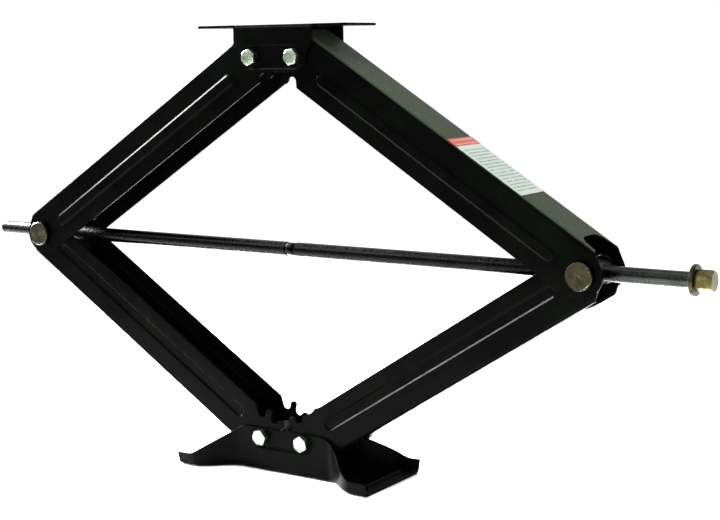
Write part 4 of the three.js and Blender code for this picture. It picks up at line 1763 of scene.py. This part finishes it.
@dataclass
class Studio:
    """Camera, pale floor, pale surround and soft lights."""

    camera_place: tuple[float, float, float] = (0.9712, -1.3098, 0.47027)
    yaw: float = 33.95
    pitch: float = 8.16
    roll: float = -0.86
    lens: float = 74.245
    surround: str = "ffffff"
    surround_strength: float = 1.1
    lights: list[Softbox] = field(
        default_factory=lambda: [
            Softbox("overhead", (0.3, -0.4, 2.9), (0.0, 0.0, 0.25), (2.4, 2.0), 60.0),
            Softbox("left_side", (-2.75, 0.12, 1.68), (-0.1, 0.0, 0.3), (1.3, 1.1), 150.0, 42.0),
            Softbox("front_left", (-1.65, -1.9, 1.9), (0.0, 0.0, 0.25), (0.9, 0.6), 3.0, 40.0),
        ]
    )

    def camera(self) -> bpy.types.Object:
        """Stand the camera to the right of the front, a little above the jack."""
        yaw, pitch, roll = (math.radians(a) for a in (self.yaw, self.pitch, self.roll))
        ahead = Vector((-math.sin(yaw) * math.cos(pitch), math.cos(yaw) * math.cos(pitch), -math.sin(pitch)))
        right = Vector((math.cos(yaw), math.sin(yaw), 0.0))
        up = right.cross(ahead)
        axis_x = math.cos(roll) * right + math.sin(roll) * up
        axis_y = -math.sin(roll) * right + math.cos(roll) * up
        turn = Matrix((axis_x, axis_y, -ahead)).transposed().to_4x4()
        lens = bpy.data.cameras.new("camera")
        lens.lens = self.lens
        lens.sensor_width = 36.0
        lens.clip_start, lens.clip_end = 0.05, 60.0
        camera = bpy.data.objects.new("camera", lens)
        camera.matrix_world = Matrix.Translation(self.camera_place) @ turn
        bpy.context.scene.collection.objects.link(camera)
        bpy.context.scene.camera = camera
        return camera

    def floor(self) -> bpy.types.Object:
        """Lay the floor just under the base."""
        reach = 30000.0
        corners = [(-reach, -reach, -0.4), (reach, -reach, -0.4), (reach, reach, -0.4), (-reach, reach, -0.4)]
        floor = make_object("floor", corners, [(0, 1, 2, 3)])
        material = bpy.data.materials.new("matt white floor")
        material.use_nodes = True
        shader = material.node_tree.nodes["Principled BSDF"]
        shader.inputs["Base Color"].default_value = linear("ffffff")
        shader.inputs["Roughness"].default_value = 0.9
        floor.data.materials.append(material)
        return floor

    def make(self) -> None:
        """Set the whole studio up."""
        self.camera()
        self.floor()
        for light in self.lights:
            light.make()
        world = bpy.data.worlds.new("pale surround")
        world.use_nodes = True
        shade = world.node_tree.nodes["Background"]
        shade.inputs["Color"].default_value = linear(self.surround)
        shade.inputs["Strength"].default_value = self.surround_strength
        bpy.context.scene.world = world
        bpy.context.scene.view_settings.view_transform = "Standard"


# ---- the jack -----------------------------------------------------------------------------


def make_arms() -> list[bpy.types.Object]:
    """Build the four arms and the label on the upper right one."""
    pieces = []
    for side in (Side.LEFT, Side.RIGHT):
        upper_turn, lower_turn = (-40.0, -6.3) if side is Side.LEFT else (-20.0, -26.3)
        upper = PressedArm(side, Level.UPPER, 27.4, -27.5, 22.3, 1.4, upper_turn)
        lower = PressedArm(side, Level.LOWER, 24.5, -25.0, 20.5, -1.9, lower_turn)
        pieces += [upper.make(), lower.make()]
        if side is Side.RIGHT:
            pieces.append(WarningLabel(upper).make())
    return pieces


def make_pivots() -> list[bpy.types.Object]:
    """Build the four bolted pivots."""
    pieces = []
    for side, turns in ((Side.LEFT, (8.0, 22.0)), (Side.RIGHT, (35.0, 14.0))):
        hand = side.name.lower()
        x = side.value * PIVOT_HALF_SPACING
        base = BoltedPivot(f"base_{hand}", "base", x, BASE_PIVOT_HEIGHT, BASE_EAR_HALF, 21.7, turns[0])
        top = BoltedPivot(f"top_{hand}", "bracket", x, TOP_PIVOT_HEIGHT, BRACKET_EAR_HALF, 24.6, turns[1])
        pieces += base.make() + top.make()
    return pieces


def main() -> None:
    """Build the studio and every piece."""
    logging.basicConfig(level=logging.INFO, format="%(name)s: %(message)s")
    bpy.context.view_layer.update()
    Studio().make()
    BasePan().make()
    TopBracket().make()
    make_arms()
    make_pivots()
    for side in Side:
        TrunnionNut(side).make()
    DriveScrew().make()
    DriveEnd().make()


if __name__ == "__main__":
    main()
